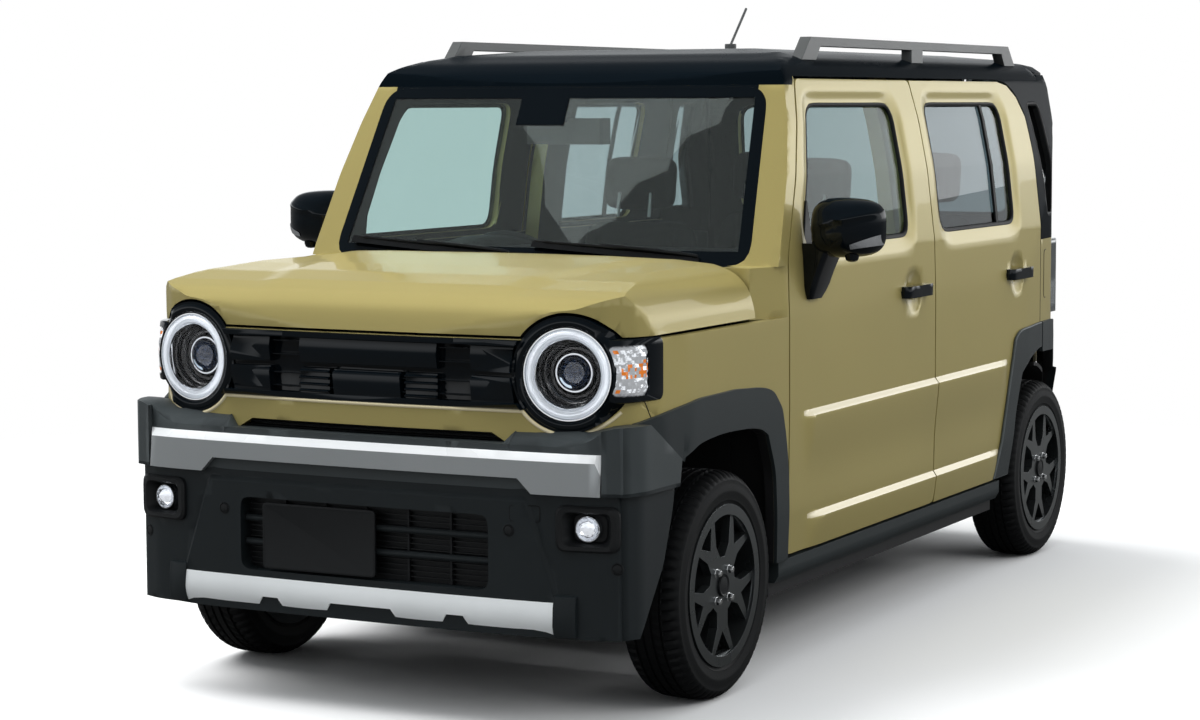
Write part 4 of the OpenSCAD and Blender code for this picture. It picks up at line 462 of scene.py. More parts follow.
def tube(name, pts, radius, mats, body, closed=False):
    """A smooth round bar along points."""
    cu = bpy.data.curves.new(name, "CURVE")
    cu.dimensions = "3D"
    cu.bevel_depth = radius
    cu.bevel_resolution = 4
    cu.use_fill_caps = True
    sp = cu.splines.new("POLY")
    sp.points.add(len(pts) - 1)
    for p, q in zip(sp.points, pts):
        p.co = (*q, 1)
    sp.use_cyclic_u = closed
    o = bpy.data.objects.new(name + "_curve", cu)
    scene.collection.objects.link(o)
    bpy.context.view_layer.update()
    me = bpy.data.meshes.new_from_object(o)
    bpy.data.objects.remove(o)
    bm = bmesh.new()
    bm.from_mesh(me)
    bmesh.ops.remove_doubles(bm, verts=bm.verts, dist=1e-5)
    return add(name, bm, mats, body, 0)


def loft(name, loops, mats, body, slot=None, closed=True, caps=(False, False), bevel=0.0, smooth=35.0):
    """Faces between loops of points with equal counts."""
    bm = bmesh.new()
    rows = [[bm.verts.new(p) for p in loop] for loop in loops]
    n = len(rows[0])
    for a, b in zip(rows, rows[1:]):
        for k in range(n if closed else n - 1):
            j = (k + 1) % n
            bm.faces.new((a[k], a[j], b[j], b[k]))
    if caps[0]:
        bm.faces.new(rows[0][::-1])
    if caps[1]:
        bm.faces.new(rows[-1])
    bmesh.ops.recalc_face_normals(bm, faces=bm.faces)
    return add(name, bm, mats, body, bevel, smooth)


def rounded(pts, r, steps=6):
    """A closed outline with its corners rounded."""
    out = []
    n = len(pts)
    for i in range(n):
        b = np.array(pts[i], float)
        a = np.array(pts[i - 1], float) - b
        c = np.array(pts[(i + 1) % n], float) - b
        d = min(r, np.linalg.norm(a) / 2.02, np.linalg.norm(c) / 2.02)
        p, q = b + a / np.linalg.norm(a) * d, b + c / np.linalg.norm(c) * d
        for k in range(steps + 1):
            t = k / steps
            out.append(p * (1 - t) ** 2 + b * 2 * t * (1 - t) + q * t * t)
    return np.array(out)


def inset(pts, t):
    """A closed outline moved inwards by t, whichever way round it runs."""
    p = np.asarray(pts, float)
    a = p - np.roll(p, 1, 0)
    b = np.roll(p, -1, 0) - p
    a /= np.maximum(1e-9, np.linalg.norm(a, axis=1))[:, None]
    b /= np.maximum(1e-9, np.linalg.norm(b, axis=1))[:, None]
    area = 0.5 * np.sum(p[:, 0] * np.roll(p[:, 1], -1) - np.roll(p[:, 0], -1) * p[:, 1])
    turn = np.array([[0, -1], [1, 0]]) * (1 if area > 0 else -1)
    na, nb = a @ turn.T, b @ turn.T
    m = na + nb
    return p + m * (t / np.maximum(0.3, 1 + np.sum(na * nb, 1)))[:, None]


def box_outline(x0, x1, z0, z1):
    return [(x0, z0), (x1, z0), (x1, z1), (x0, z1)]


def divided(outline, step):
    """A closed outline with its long edges divided, so that it can follow a curved surface."""
    out = []
    for a, b in zip(outline, np.roll(outline, -1, 0)):
        m = max(1, int(np.linalg.norm(b - a) / step))
        out += [a + (b - a) * k / m for k in range(m)]
    return np.array(out)


def level(*heights):
    """Flat planes to cut along, one at each height."""
    return [((0, 0, z), (0, 0, 1)) for z in heights]


# Surfaces of the car as functions: body side, nose, tail plan and bumper
LOW = [(0.15, 0.9), (0.21, 0.965), (0.276, 0.985), (0.39, 0.996), (0.64, 1), (0.855, 0.999), (1, 0.993)]
HIGH = [(0.367, 0.959), (0.62, 0.919), (0.825, 0.872), (0.878, 0.842), (0.923, 0.79), (0.956, 0.7), (0.977, 0.55),
    (0.991, 0.344), (1, 0.1)]
SIDE_Z = [z * BELT for z, _ in LOW] + [BELT + z * ROOF_RISE for z, _ in HIGH]
SIDE_Y = [y * HALF_W for _, y in LOW + HIGH]
NOSE = [(0.12, 1), (0.34, 0.98), (0.59, 0.947), (0.77, 0.887), (0.867, 0.797), (0.935, 0.656), (0.979, 0.406), (1, 0)]
TAIL = [(0, 1), (0.29, 0.993), (0.615, 0.968), (0.81, 0.924), (0.923, 0.853), (0.967, 0.715), (0.99, 0.413), (1, 0.1)]
BUMP = [(0.1, 1), (0.339, 0.994), (0.583, 0.976), (0.759, 0.952), (0.88, 0.914), (0.957, 0.84), (0.992, 0.67), (1, 0)]


# where the plan's curves begin, and how long they are
TAIL_X, TAIL_L = -1.1625, 0.515
NOSE_X, NOSE_L = FX + 0.200, 0.320
BUMP_X, BUMP_L = FX + 0.250, 0.295


def along_table(v, table):
    """The value between the table's points at v."""
    return float(np.interp(v, [a for a, _ in table], [b for _, b in table]))


def side_y(x, z):
    """Half width of the body side at a point."""
    return float(min(np.interp(z, SIDE_Z, SIDE_Y), HALF_W * along_table((TAIL_X - x) / TAIL_L, TAIL)))


def nose_x(y):
    return NOSE_X + NOSE_L * along_table(abs(y) / HALF_W, NOSE)


def bump_x(y):
    return BUMP_X + BUMP_L * along_table(abs(y) / BUMPER_HALF_W, BUMP)


def ease(t):
    """A smooth step from 0 to 1."""
    t = min(1.0, max(0.0, t))
    return t * t * (3 - 2 * t)


# Body panels: forms, tones (the material of a face from its centre, normal and side of the car) and skins
# pressed ledges of the doors: upper edge, depth, front and rear end; their height; the windows' recess and its width
LEDGES = [(0.680, 0.012, A(480), A(2130)), (0.400, 0.011, A(520), A(2060))]
LEDGE_H = 0.016
DIP, DIP_W = 0.011, 0.042


def window_dip(x, z):
    """How far the body side steps in towards a side window at a point."""
    deep = 0.0
    for q, r in DIPS:
        a, b = q, np.roll(q, -1, 0)
        d = b - a
        p = np.array((x, z)) - a
        t = np.clip(np.sum(p * d, 1) / np.sum(d * d, 1), 0, 1)
        gap = np.min(np.linalg.norm(p - d * t[:, None], axis=1)) - r
        if gap < DIP_W:
            f = max(0.0, gap) / DIP_W
            deep = max(deep, DIP * (1 - (f if z < WINDOW_LOW else ease(f))))
    return deep


def door_ledges(bm):
    """Steps the door in round its window and out below each ledge."""
    for v in bm.verts:
        if abs(v.co.y) > 0.60 and v.co.z > 1.04 and v.normal.y * v.co.y > 0.3 * abs(v.co.y):
            v.co.y -= math.copysign(window_dip(v.co.x, v.co.z), v.co.y)
    for v in bm.verts:
        if abs(v.co.y) < 0.690 or v.normal.y * v.co.y < 0.3 * abs(v.co.y):
            continue
        d = 0.0
        for z, h, x0, x1 in LEDGES:
            t = z - v.co.z
            if t > 0:
                fade = ease((x0 - v.co.x) / 0.06) * ease((v.co.x - x1) / 0.06)
                d += h * fade * min(1.0, t / LEDGE_H) * (1 - ease((t - LEDGE_H) / 0.165))
        v.co.y += math.copysign(d, v.co.y)


DOOR_WINDOWS = {"front": [(A(1305), WINDOW_LOW), (A(520), WINDOW_LOW), (A(680), WINDOW_TOP), (A(1305), WINDOW_TOP)],
                "rear": box_outline(RX + 0.225, A(1560), WINDOW_LOW, WINDOW_TOP)}
DIPS = [(inset(w, 0.060), 0.060) for w in DOOR_WINDOWS.values()]


def dip_planes(which):
    """Cuts beside each edge of a door's window, where the step in begins and ends."""
    out = []
    w = np.array(DOOR_WINDOWS[which])
    for a, b in zip(w, np.roll(w, -1, 0)):
        n = np.array((b[1] - a[1], a[0] - b[0])) / np.linalg.norm(b - a)
        if np.dot(n, a - w.mean(0)) < 0:
            n = -n
        out += [((*(a + n * off)[:1], 0, (a + n * off)[1]), (n[0], 0, n[1])) for off in (0.010, 0.021, 0.032, DIP_W)]
    return out


ledge_planes = []
for z, h, x0, x1 in LEDGES:
    ledge_planes += level(*[z + dz for dz in (0.003, 0.0, -LEDGE_H / 2, -LEDGE_H, -LEDGE_H - 0.004)])
    for x in (x0 - 0.012, x0 - 0.026, x1 + 0.012, x1 + 0.026):
        ledge_planes.append(((x, 0, 0), (1, 0, 0)))

# Head lamps face a little outwards
LAMP = (0.542, 0.857)
LAMP_X = FX + 0.487
LAMP_YAW = math.radians(8)


def bezel_form(bm):
    """Turns each bezel outwards with the nose and sinks its outer side under the turn lamp."""
    for v in bm.verts:
        dy, dz = abs(v.co.y) - LAMP[0], v.co.z - LAMP[1]
        r = math.hypot(dy, dz)
        if 0.108 < r < 0.1415 and v.co.x > FX + 0.38:
            v.co.x -= math.tan(LAMP_YAW) * dy
            if r > 0.13:
                v.co.x -= 0.046 * ease((dy / r - 0.5) / 0.3) * ease((v.co.x - FX - 0.41) / 0.03)


# seam of the bumper's corner and the front arch: a point and the slope
SEAM_X, SEAM_Z, SEAM_SLOPE = FX + 0.419, 0.738, 0.629
# the bumper's raised centre: (height, half width) below and above, and its upper edge
U_LOW, U_TOP, U_EDGE = (0.326, 0.545), (0.577, 0.458), 0.566


def seam_z(x):
    """Height of the seam between the bumper's corner and the front arch."""
    return SEAM_Z + SEAM_SLOPE * (x - SEAM_X)


def intake_half(z):
    """Half width of the bumper's raised centre."""
    return np.interp(z, *zip(U_LOW, U_TOP))


def bumper_form(bm):
    """Raised centre round the intake, and a shoulder that rises to the nose."""
    for v in bm.verts:
        x, y, z = v.co
        ay = abs(y)
        if v.normal.x > 0.3 and x > FX + 0.42:
            half = intake_half(z)
            d = min(half - ay, U_EDGE - z)
            v.co.x += 0.009 * ease(d / 0.012)
        if z > 0.6895:
            gap = max(0.02, bump_x(y) - nose_x(y))
            d = bump_x(min(ay, 0.70) * (1 if y > 0 else -1)) - x
            rise = 0.036 * min(1.0, max(0.0, d / gap)) * ease((ay - 0.392) / 0.02)
            corner = ease((ay - 0.585) / 0.095)
            v.co.z += rise + (0.050 - rise) * corner
        if ay > 0.64:
            v.co.z = min(v.co.z, seam_z(x))


U_SIDE = math.atan2(U_LOW[1] - U_TOP[1], U_TOP[0] - U_LOW[0])
bumper_planes = level(U_EDGE, U_EDGE - 0.006, U_EDGE - 0.012)
bumper_planes.append(((SEAM_X, 0, SEAM_Z), (-SEAM_SLOPE, 0, 1)))
for s, _ in reversed(SIDES):
    for off in (0.0, 0.006, 0.012):
        bumper_planes.append(((0, s * (U_LOW[1] - off), U_LOW[0]), (0, s * math.cos(U_SIDE), math.sin(U_SIDE))))
    bumper_planes += [((0, s * y, 0), (0, 1, 0)) for y in (0.392, 0.412)]


def flare_form(bm):
    """Brings the front arches' lower front edge down to the seam with the bumper."""
    for v in bm.verts:
        if 0.684 < v.co.z < 0.697 and FX + 0.235 < v.co.x < FX + 0.416:
            v.co.z = seam_z(v.co.x) + 0.003


# heights where a tone changes: skid below, the bar's painted highlight above, the bumper cap's painted highlight,
# tailgate's spoiler
SKID_TOP, BAR_EDGE, BUMPER_CAP, SPOILER = 0.45, 0.655, 0.585, 1.552


def bar_form(bm):
    """Rounds the skid's face and leans the bumper bar's upper edge back."""
    for v in bm.verts:
        if v.normal.x < -0.5:
            continue
        if v.co.z < SKID_TOP:
            u = v.co.z - 0.276
            v.co.x -= 0.011 * (u / 0.064) ** 2 if u > 0 else 0.013 * (u / 0.040) ** 2
        elif v.co.z > BAR_EDGE:
            v.co.x -= 0.015 * (v.co.z - BAR_EDGE) / 0.025


bar_planes = level(BAR_EDGE, 0.250, 0.263, 0.276, 0.290, 0.304, 0.318, 0.331)


def towards(c, x, y, z):
    return Vector((x - c.x, y - c.y, z - c.z)).normalized()


def fender_tone(c, n, side):
    """Faces that look inwards, down or at the wheel carry under coat."""
    if n.y * side < -0.25 or n.z < -0.6 or n.dot(towards(c, FX, c.y, HUB)) > 0.6:
        return 1


def pillar_tone(c, n, side):
    """Pillars: under coat below, a black header, trim inside."""
    if c.z < 0.93 and (abs(c.y) < 0.705 or n.x > 0.3):
        return 1
    if c.z > 1.537 and n.x > 0.2 and abs(c.y) < 0.590:
        return 2
    if n.y * side < -0.3 or n.x < -0.5 and abs(c.y) < 0.62:
        return 3


def trim_tone(c, n, side):
    """Faces that look into the cabin carry its trim."""
    if n.dot(towards(c, -0.4, 0, 0.9)) > 0.45:
        return 1


def quarter_tone(c, n, side):
    """Quarter panels: under coat low down and round the wheel, trim inside."""
    return 2 if c.z < 0.640 or n.dot(towards(c, RX, c.y, HUB)) > 0.5 else trim_tone(c, n, side)


def gate_tone(c, n, side):
    """The tailgate is trimmed inside and has a black spoiler."""
    return trim_tone(c, n, side) or (2 if c.z > SPOILER else 0)


def bumper_tone(c, n, side):
    """The bumper's cap gets a painted highlight, a lighter grey."""
    return 1 if c.z > BUMPER_CAP and n.x > -0.5 else None


def bar_tone(c, n, side):
    """The skid is a brighter silver with a painted glow; the bar's up-facing upper edge carries a painted highlight."""
    return 1 if c.z < SKID_TOP else 2 if c.z > BAR_EDGE and n.z > 0.15 else None


def arch_tone(c, n, side):
    """Arches and sills get a painted highlight, a lighter grey, where they look up."""
    return 1 if c.z > 0.30 and n.z > 0.45 else None


def bonnet_tone(c, n, side):
    return 1 if n.z < -0.3 else None


def lamp_tone(c, n, side):
    """The tail lamps' sides are smoked, their rear faces red."""
    return 1 if n.x > -0.40 else None


def bonnet_form(bm):
    """The bonnet's middle stands up between two creases that spread towards the screen."""
    for v in bm.verts:
        if v.normal.z < 0.3:
            continue
        line = 0.365 + 0.150 * min(1.0, max(0.0, (FX + 0.47 - v.co.x) / 0.70))
        up = ease((line - abs(v.co.y)) / 0.040) * ease((FX + 0.485 - v.co.x) / 0.10) * ease((v.co.x - A(232)) / 0.10)
        v.co.z += 0.007 * up


HANDLE_X = {"front": A(1475) + 0.175, "rear": RX + 0.250}


def door_tone(which):
    """Doors: a black handle, trim inside, and a painted highlight on the ledges' faces."""
    def tone(c, n, side):
        if abs(c.x - HANDLE_X[which]) < 0.104 and abs(c.z - 0.950) < 0.019 and abs(c.y) > 0.7235:
            return 1
        if n.y * side < -0.3 and abs(c.y) < 0.700:
            return 2
        # the ledges' faces carry the painted highlight
        for z, _, x0, x1 in LEDGES:
            if abs(c.y) > 0.70 and z - LEDGE_H < c.z < z and x1 + 0.012 < c.x < x0 - 0.012:
                return 3
    return tone


# the windscreen's black border: its edges and the camera's patch behind the mirror
SCREEN_SIDE = math.atan2(0.644 - 0.596, 1.540 - 1.072)
SCREEN_EDGE, FRIT_LOW, FRIT_TOP, PATCH_LOW = 0.644 - 0.034, 1.108, 1.512, 1.438
PATCH = (-0.132, 0.018)
screen_planes = level(FRIT_LOW, FRIT_TOP, PATCH_LOW) + [((0, y, 0), (0, 1, 0)) for y in PATCH]
for s, _ in reversed(SIDES):
    screen_planes.append(((0, s * SCREEN_EDGE, 1.072), (0, s * math.cos(SCREEN_SIDE), math.sin(SCREEN_SIDE))))


def frit_tone(c, n, side):
    border = abs(c.y) > SCREEN_EDGE - (c.z - 1.072) * math.tan(SCREEN_SIDE) or not FRIT_LOW <= c.z <= FRIT_TOP
    return 1 if border or PATCH[0] < c.y < PATCH[1] and c.z > PATCH_LOW else None


panel("bonnet", ["paint", "under"], (0.02, 0.02, 0.03), shape=bonnet_form, tone=bonnet_tone)
panel("front_fenders", ["paint", "under"], tone=fender_tone)
panel("nose_panel", "paint")
panel("pillars", ["paint", "under", "black", "cabin"], tone=pillar_tone)
panel("quarter_panels", ["paint", "cabin", "under"], tone=quarter_tone)
panel("tailgate", ["paint", "cabin", "roof"], extra=level(SPOILER), tone=gate_tone)
panel("roof", ["roof", "cabin"], (0.04, 0.04, 0.03), tone=trim_tone)
panel("rear_pillars", ["roof", "cabin"], tone=trim_tone)
panel("grille", "black", (0, 0, 0), shape=bezel_form, passes=0, bevel=0.002, merge=False)
panel("front_bumper", ["plastic", "flare"], extra=bumper_planes + level(BUMPER_CAP), shape=bumper_form,
    tone=bumper_tone)
panel("rear_bumper", "plastic")
o = panel("claddings", ["cladding", "flare", "clad_highlight"], (0.03, 0, 0.03), shape=flare_form, bevel=0.008, tone=arch_tone)
# the rounded edges take the third material, a painted highlight
o.modifiers["bevel"].material = 2
panel("tail_lamps", ["red", "smoke"], (0.01, 0.01, 0.01), bevel=0.003, tone=lamp_tone)
o = panel("bumper_bars", ["silver", "skid", "bar_edge"], (0.03, 0.03, 0), bar_planes, bar_form, bevel=0.003,
    tone=bar_tone)
# the rounded edges take the bar's painted highlight
o.modifiers["bevel"].material = 2
panel("roof_rails", "rail", (0.06, 0, 0), passes=4, bevel=0.009)
panel("windscreen", ["glass", "black"], (0, 0.04, 0.04), screen_planes, passes=0, bevel=0, tone=frit_tone)
for s in ("left", "right"):
    for w in ("front", "rear"):
        # material 3, edge, is the painted highlight on the ledges
        panel(w + "_door_" + s, ["paint", "black", "cabin", "edge"], (0.03, 0, 0.03), ledge_planes + dip_planes(w),
            door_ledges, tone=door_tone(w), angle=14.0)
    o = panel("rear_door_arch_" + s, ["cladding", "flare", "clad_highlight"], (0.03, 0, 0.03), bevel=0.008, tone=arch_tone)
    # the rounded edges take the third material, a painted highlight
    o.modifiers["bevel"].material = 2
    nodes["front_glass_" + s].data.materials[0] = M["tint"]
    nodes["rear_glass_" + s].data.materials[0] = M["privacy"]
nodes["quarter_glass"].data.materials[0] = M["quarter"]
nodes["tailgate_glass"].data.materials[0] = M["privacy"]
for n in ("cowl", "lower_grille", "cabin_mirror"):
    nodes[n].data.materials[0] = M["dark"]

# Head lamps: ring, dark bowl, projector with a painted reflection on its lens, and clear dome
for s, side in SIDES:
    at = (LAMP_X, s * LAMP[0], LAMP[1])
    ax = (math.cos(LAMP_YAW), s * math.sin(LAMP_YAW), 0)
    ring_line = [(0.0845, -0.012), (0.0855, -0.004), (0.090, 0.001), (0.0955, 0.003), (0.101, 0.001),
        (0.1055, -0.004), (0.1065, -0.012), (0.1055, -0.020), (0.0845, -0.020), (0.0845, -0.012)]
    o = revolve("headlamp_ring_" + side, ring_line, at, ax, "ring", "body", 96)
    revolve("headlamp_rim_" + side, [(0.1070, -0.030), (0.1070, -0.003), (0.1085, 0.0), (0.1115, 0.0),
        (0.1118, -0.004), (0.1118, -0.060)], at, ax, "chrome", "body", 96)
    revolve("headlamp_bowl_" + side, [(0.0860, -0.014), (0.0835, -0.017), (0.0800, -0.030), (0.0760, -0.033),
        (0.0720, -0.048), (0.0680, -0.050), (0.0600, -0.064), (0.0540, -0.066), (0.0480, -0.078), (0.0, -0.082)],
        at, ax, "bowl", "body", 72)
    revolve("projector_cup_" + side, [(0.0480, -0.080), (0.0480, -0.060), (0.0460, -0.057), (0.0425, -0.057),
        (0.0405, -0.062), (0.0385, -0.070)], at, ax, "facet", "body", 64)
    revolve("projector_lens_" + side, [(0.0395, -0.072), (0.0385, -0.062), (0.0340, -0.052), (0.0250, -0.0445),
        (0.0130, -0.0405), (0.0, -0.0395)], at, ax, "blue", "body", 64)
    # a glowing crescent on the projector lens: a painted reflection
    crescent = []
    mid = 232 if s > 0 else 308
    for r, h in ((0.0372, -0.0555), (0.0345, -0.0515), (0.0300, -0.0478)):
        w = 0.85 if r > 0.036 or r < 0.031 else 1.0
        crescent.append([Vector(at) + Vector(ax) * (h + 0.0012) + Vector((-math.sin(LAMP_YAW) * r * math.cos(t),
            s * r * math.cos(t), r * math.sin(t)))
            for t in np.radians(np.linspace(mid - 34 * s * w, mid + 34 * s * w, 13))])
    loft("projector_glint_" + side, crescent, "spark", "body", "lamp_glass", closed=False)
    revolve("headlamp_trim_" + side, [(0.0850, -0.010), (0.0832, -0.006), (0.0812, -0.008), (0.0806, -0.018)], at,
        ax, "chrome", "body", 96)
    loops = []
    for r, h in ((0.1128, -0.030), (0.1130, -0.002), (0.1155, 0.0022), (0.1215, 0.0040), (0.1290, 0.0032),
            (0.1355, -0.0005), (0.1395, -0.0075), (0.1408, -0.020), (0.1408, -0.070)):
        loop = []
        for t in ROUND:
            sink = 0.046 * ease((math.cos(t) - 0.5) / 0.3) * ease((r - 0.113) / 0.024) if h > -0.05 else 0.0
            loop.append(Vector(at) + Vector(ax) * h + Vector((-math.sin(LAMP_YAW) * r * math.cos(t) - sink,
                s * r * math.cos(t), r * math.sin(t))))
        loops.append(loop)
    loft("headlamp_bezel_" + side, loops, "black", "body", "gloss_black", smooth=60)
    dome = [(0.1105, -0.006), (0.1120, -0.001), (0.1060, 0.0045), (0.0940, 0.0095), (0.0700, 0.0148),
        (0.0400, 0.0172), (0.0, 0.0180)]
    inner = [(0.0, 0.0160), (0.0400, 0.0152), (0.0700, 0.0128), (0.0930, 0.0078), (0.1045, 0.0030),
        (0.1095, -0.0015), (0.1105, -0.006)]
    revolve("headlamp_dome_" + side, dome + inner, at, ax, "lens", "body", 96, smooth=50)


# Turn lamps: a black pod round the corner with a clear, facetted lens that has orange bulbs behind it
def pod_point(t, z, out):
    """A point of the pod in plan: from the lamp's rim over the lens to the pod's rear end."""
    y0 = LAMP[0] + math.sqrt(max(0.0, 0.1130 ** 2 - min(abs(z - LAMP[1]), 0.1) ** 2))
    x0 = 0.487 - math.tan(LAMP_YAW) * (y0 - LAMP[0])
    p = [np.array(q) for q in ((x0, y0), (0.456, 0.690), (0.380, 0.6985), (0.355, 0.7045), (0.318, 0.7165))]
    if t <= 1:
        q = p[0] * (1 - t) ** 2 + p[1] * 2 * t * (1 - t) + p[2] * t * t
        d = (p[1] - p[0]) * (1 - t) + (p[2] - p[1]) * t
    else:
        t -= 1
        q = p[2] * (1 - t) ** 2 + p[3] * 2 * t * (1 - t) + p[4] * t * t
        d = (p[3] - p[2]) * (1 - t) + (p[4] - p[3]) * t
    n = np.array((d[1], -d[0])) / np.linalg.norm(d)
    return q + n * out


for s, side in SIDES:
    def pod_loop(z0, z1, t0, t1, out, corner=0.024):
        edge = rounded(box_outline(t0 * 0.1, t1 * 0.1, z0, z1), corner, 6)
        dense = []
        for i, (a, b) in enumerate(zip(edge, np.roll(edge, -1, 0))):
            m = 12 if i % 7 == 6 else 1
            dense += [a + (b - a) * k / m for k in range(m)]
        rows = []
        for u, z in dense:
            x, y = pod_point(u / 0.1, z, out)
            rows.append(Vector((FX + x, s * y, z)))
        return rows
    loft("turn_pod_" + side, [pod_loop(0.790, 0.942, 0.0, 1.96, -0.022), pod_loop(0.790, 0.942, 0.0, 1.96, -0.002),
        pod_loop(0.7925, 0.9395, 0.02, 1.90, 0.001), pod_loop(0.806, 0.927, 0.04, 1.20, 0.001),
        pod_loop(0.808, 0.925, 0.05, 1.17, -0.006)], "black", "body", "gloss_black")
    bm = bmesh.new()
    rows = []
    for i in range(15):
        z = 0.8065 + 0.1185 * i / 14
        row = []
        for k in range(19):
            f = k / 18
            top = 1.19 - 0.16 * ease((abs(z - 0.8658) - 0.038) / 0.026)
            rim = i in (0, 14) or k in (0, 18)
            deep = 0.0045 if rim else 0.0010 + 0.0022 * ((i * 7 + k * 5 + (i * k) % 3) % 4) / 3
            x, y = pod_point(0.03 + (top - 0.03) * f, z, -deep)
            row.append(bm.verts.new((FX + x, s * y, z)))
        rows.append(row)
    for i in range(14):
        for k in range(18):
            f = bm.faces.new((rows[i][k], rows[i][k + 1], rows[i + 1][k + 1], rows[i + 1][k]))
            spread = 1 if k < 6 else (2 if k < 11 else 3)
            hot = abs(i - 6.5) < spread and k > 3 and (i * 37 + k * 101 + i * k * 13) % 9 < 4
            f.material_index = 1 if hot or (i in (1, 12) and k in (2, 3)) else 0
    bmesh.ops.recalc_face_normals(bm, faces=bm.faces)
    if sum(f.normal.x for f in bm.faces) < 0:
        bmesh.ops.reverse_faces(bm, faces=bm.faces)
    add("turn_lens_" + side, bm, ["crystal", "bulb"], "body", smooth=4)
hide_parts("front_lamps")

# Fog lamps in raised frames
for s, side in SIDES:
    cy, cz = 0.613, 0.497
    n = Vector((1, s * 0.13, 0)).normalized()

    def fog_loop(hw, hh, r, out):
        return [Vector((bump_x(s * (cy + u)), s * (cy + u), cz + w)) + n * out
            for u, w in rounded(box_outline(-hw, hw, -hh, hh), r, 5)]
    loft("fog_frame_" + side, [fog_loop(0.078, 0.056, 0.026, -0.004), fog_loop(0.077, 0.055, 0.026, 0.008),
        fog_loop(0.071, 0.050, 0.024, 0.013), fog_loop(0.060, 0.041, 0.022, 0.012),
        fog_loop(0.053, 0.036, 0.020, 0.004), fog_loop(0.040, 0.031, 0.018, -0.022),
        fog_loop(0.020, 0.016, 0.010, -0.024)], "dark", "body", "grey_plastic", caps=(False, True))
    at = Vector((bump_x(s * cy), s * cy, cz)) - n * 0.020
    revolve("fog_cup_" + side, [(0.0, -0.002), (0.014, 0.0), (0.024, 0.008), (0.0285, 0.017), (0.0305, 0.017),
        (0.031, 0.0)], at, n, "facet", "body", 48)
    revolve("fog_lens_" + side, [(0.0285, 0.014), (0.0275, 0.0175), (0.020, 0.021), (0.010, 0.0225), (0.0, 0.023)],
        at, n, "lens", "body", 48)

# Grille: creased blocks, louvres and little ribs between them
GRILLE_HALF = 0.440
ROWS = [(0.7800, 0.8460), (0.8580, 0.9260)]
BLOCKS = [(-0.22, 0.22, 0, 0), (-0.45, -0.25, 0, 1), (0.25, 0.45, 0, 1), (-0.92, -0.66, 0, 0), (0.66, 0.92, 0, 0),
    (-0.45, 0.45, 1, 0), (-0.92, -0.66, 1, 0), (0.66, 0.92, 1, 0)]


def strip(y0, y1, line, count=8, front=nose_x):
    """Loops of a profile of (height, out) along the nose or the bumper from y0 to y1."""
    return [[Vector((front(y) + o, y, z)) for z, o in line]
        for y in (y0 + (y1 - y0) * k / count for k in range(count + 1))]


for k, (a, b, row, louvred) in enumerate(BLOCKS):
    z0, z1 = ROWS[row]
    h = z1 - z0
    y0, y1 = a * GRILLE_HALF, b * GRILLE_HALF
    if louvred:
        for q in range(4):
            zz = z0 + h * (0.08 + 0.245 * q)
            loft("louvre_%d_%d" % (k, q), strip(y0, y1, [(zz, -0.012), (zz + 0.002, 0.0015), (zz + 0.006, 0.0025),
                (zz + 0.0085, -0.004), (zz + 0.0085, -0.012)]), "black", "body", "gloss_black", caps=BOTH,
                bevel=0.0006)
    else:
        m = 0.52 if row else 0.80
        loft("grille_block_%d" % k, strip(y0, y1, [(z0 + 0.001, -0.008), (z0 + 0.002, -0.0035), (z0 + h * m, 0.003),
            (z1 - 0.005, -0.003 if row else 0.0), (z1 - 0.001, -0.009)], 12), "black", "body", "gloss_black",
            caps=BOTH, bevel=0.001)
GAPS = [(-0.66, -0.45), (0.45, 0.66), (-0.25, -0.22), (0.22, 0.25), (-1.02, -0.92), (0.92, 1.02)]
for k, (a, b) in enumerate(GAPS):
    for q, (z0, z1) in enumerate(ROWS):
        if q and k in (2, 3):
            continue
        for r, share in enumerate((0.25, 0.75)):
            zz = z0 + (z1 - z0) * share
            loft("grille_rib_%d_%d_%d" % (k, q, r),
                strip(a * GRILLE_HALF, b * GRILLE_HALF, [(zz, -0.024), (zz, -0.008), (zz + 0.003, -0.007),
                (zz + 0.003, -0.024)], 2), "black", "body", "gloss_black", caps=BOTH, bevel=0.0005)

# Lip of the nose along the lower edge of grille and bezels, and its seam to the fender
lip = []
for t in np.radians(np.linspace(-141, -38, 30)):
    y, z = LAMP[0] + 0.1455 * math.cos(t), LAMP[1] + 0.1455 * math.sin(t)
    lip.append((nose_x(y) - 0.001, y, z))
edge = lip[0][2]
middle = [(nose_x(y) - 0.001, y, edge + (0.7655 - edge) * ease((0.42 - abs(y)) / 0.03))
    for y in np.linspace(0.405, -0.405, 28)]
# the lip carries the painted highlight: lighter paint with a glow
tube("nose_lip", lip[::-1] + middle + [(x, -y, z) for x, y, z in lip], 0.0048, "edge", "body")
for s, side in SIDES:
    tube("nose_seam_" + side, [(nose_x(y) - 0.0002, s * y, z) for y, z in ((0.690, 0.800), (0.6945, 0.778),
        (0.698, 0.758), (0.702, 0.738))], 0.0014, "rubber", "body")

# Slot under the nose
for k in range(2):
    zz = 0.693 + 0.009 * k
    loft("slot_fin_%d" % k, strip(-0.372 + 0.016 * k, 0.372 - 0.016 * k,
        [(zz, -0.030), (zz, -0.010), (zz + 0.003, -0.008), (zz + 0.003, -0.030)], 24), "dark", "body",
        "grey_plastic", caps=BOTH)
loft("slot_back", strip(-0.384, 0.384, [(0.686, -0.034), (0.718, -0.034), (0.718, -0.038), (0.686, -0.038)], 24),
    "rubber", "body", "grey_plastic", caps=BOTH)

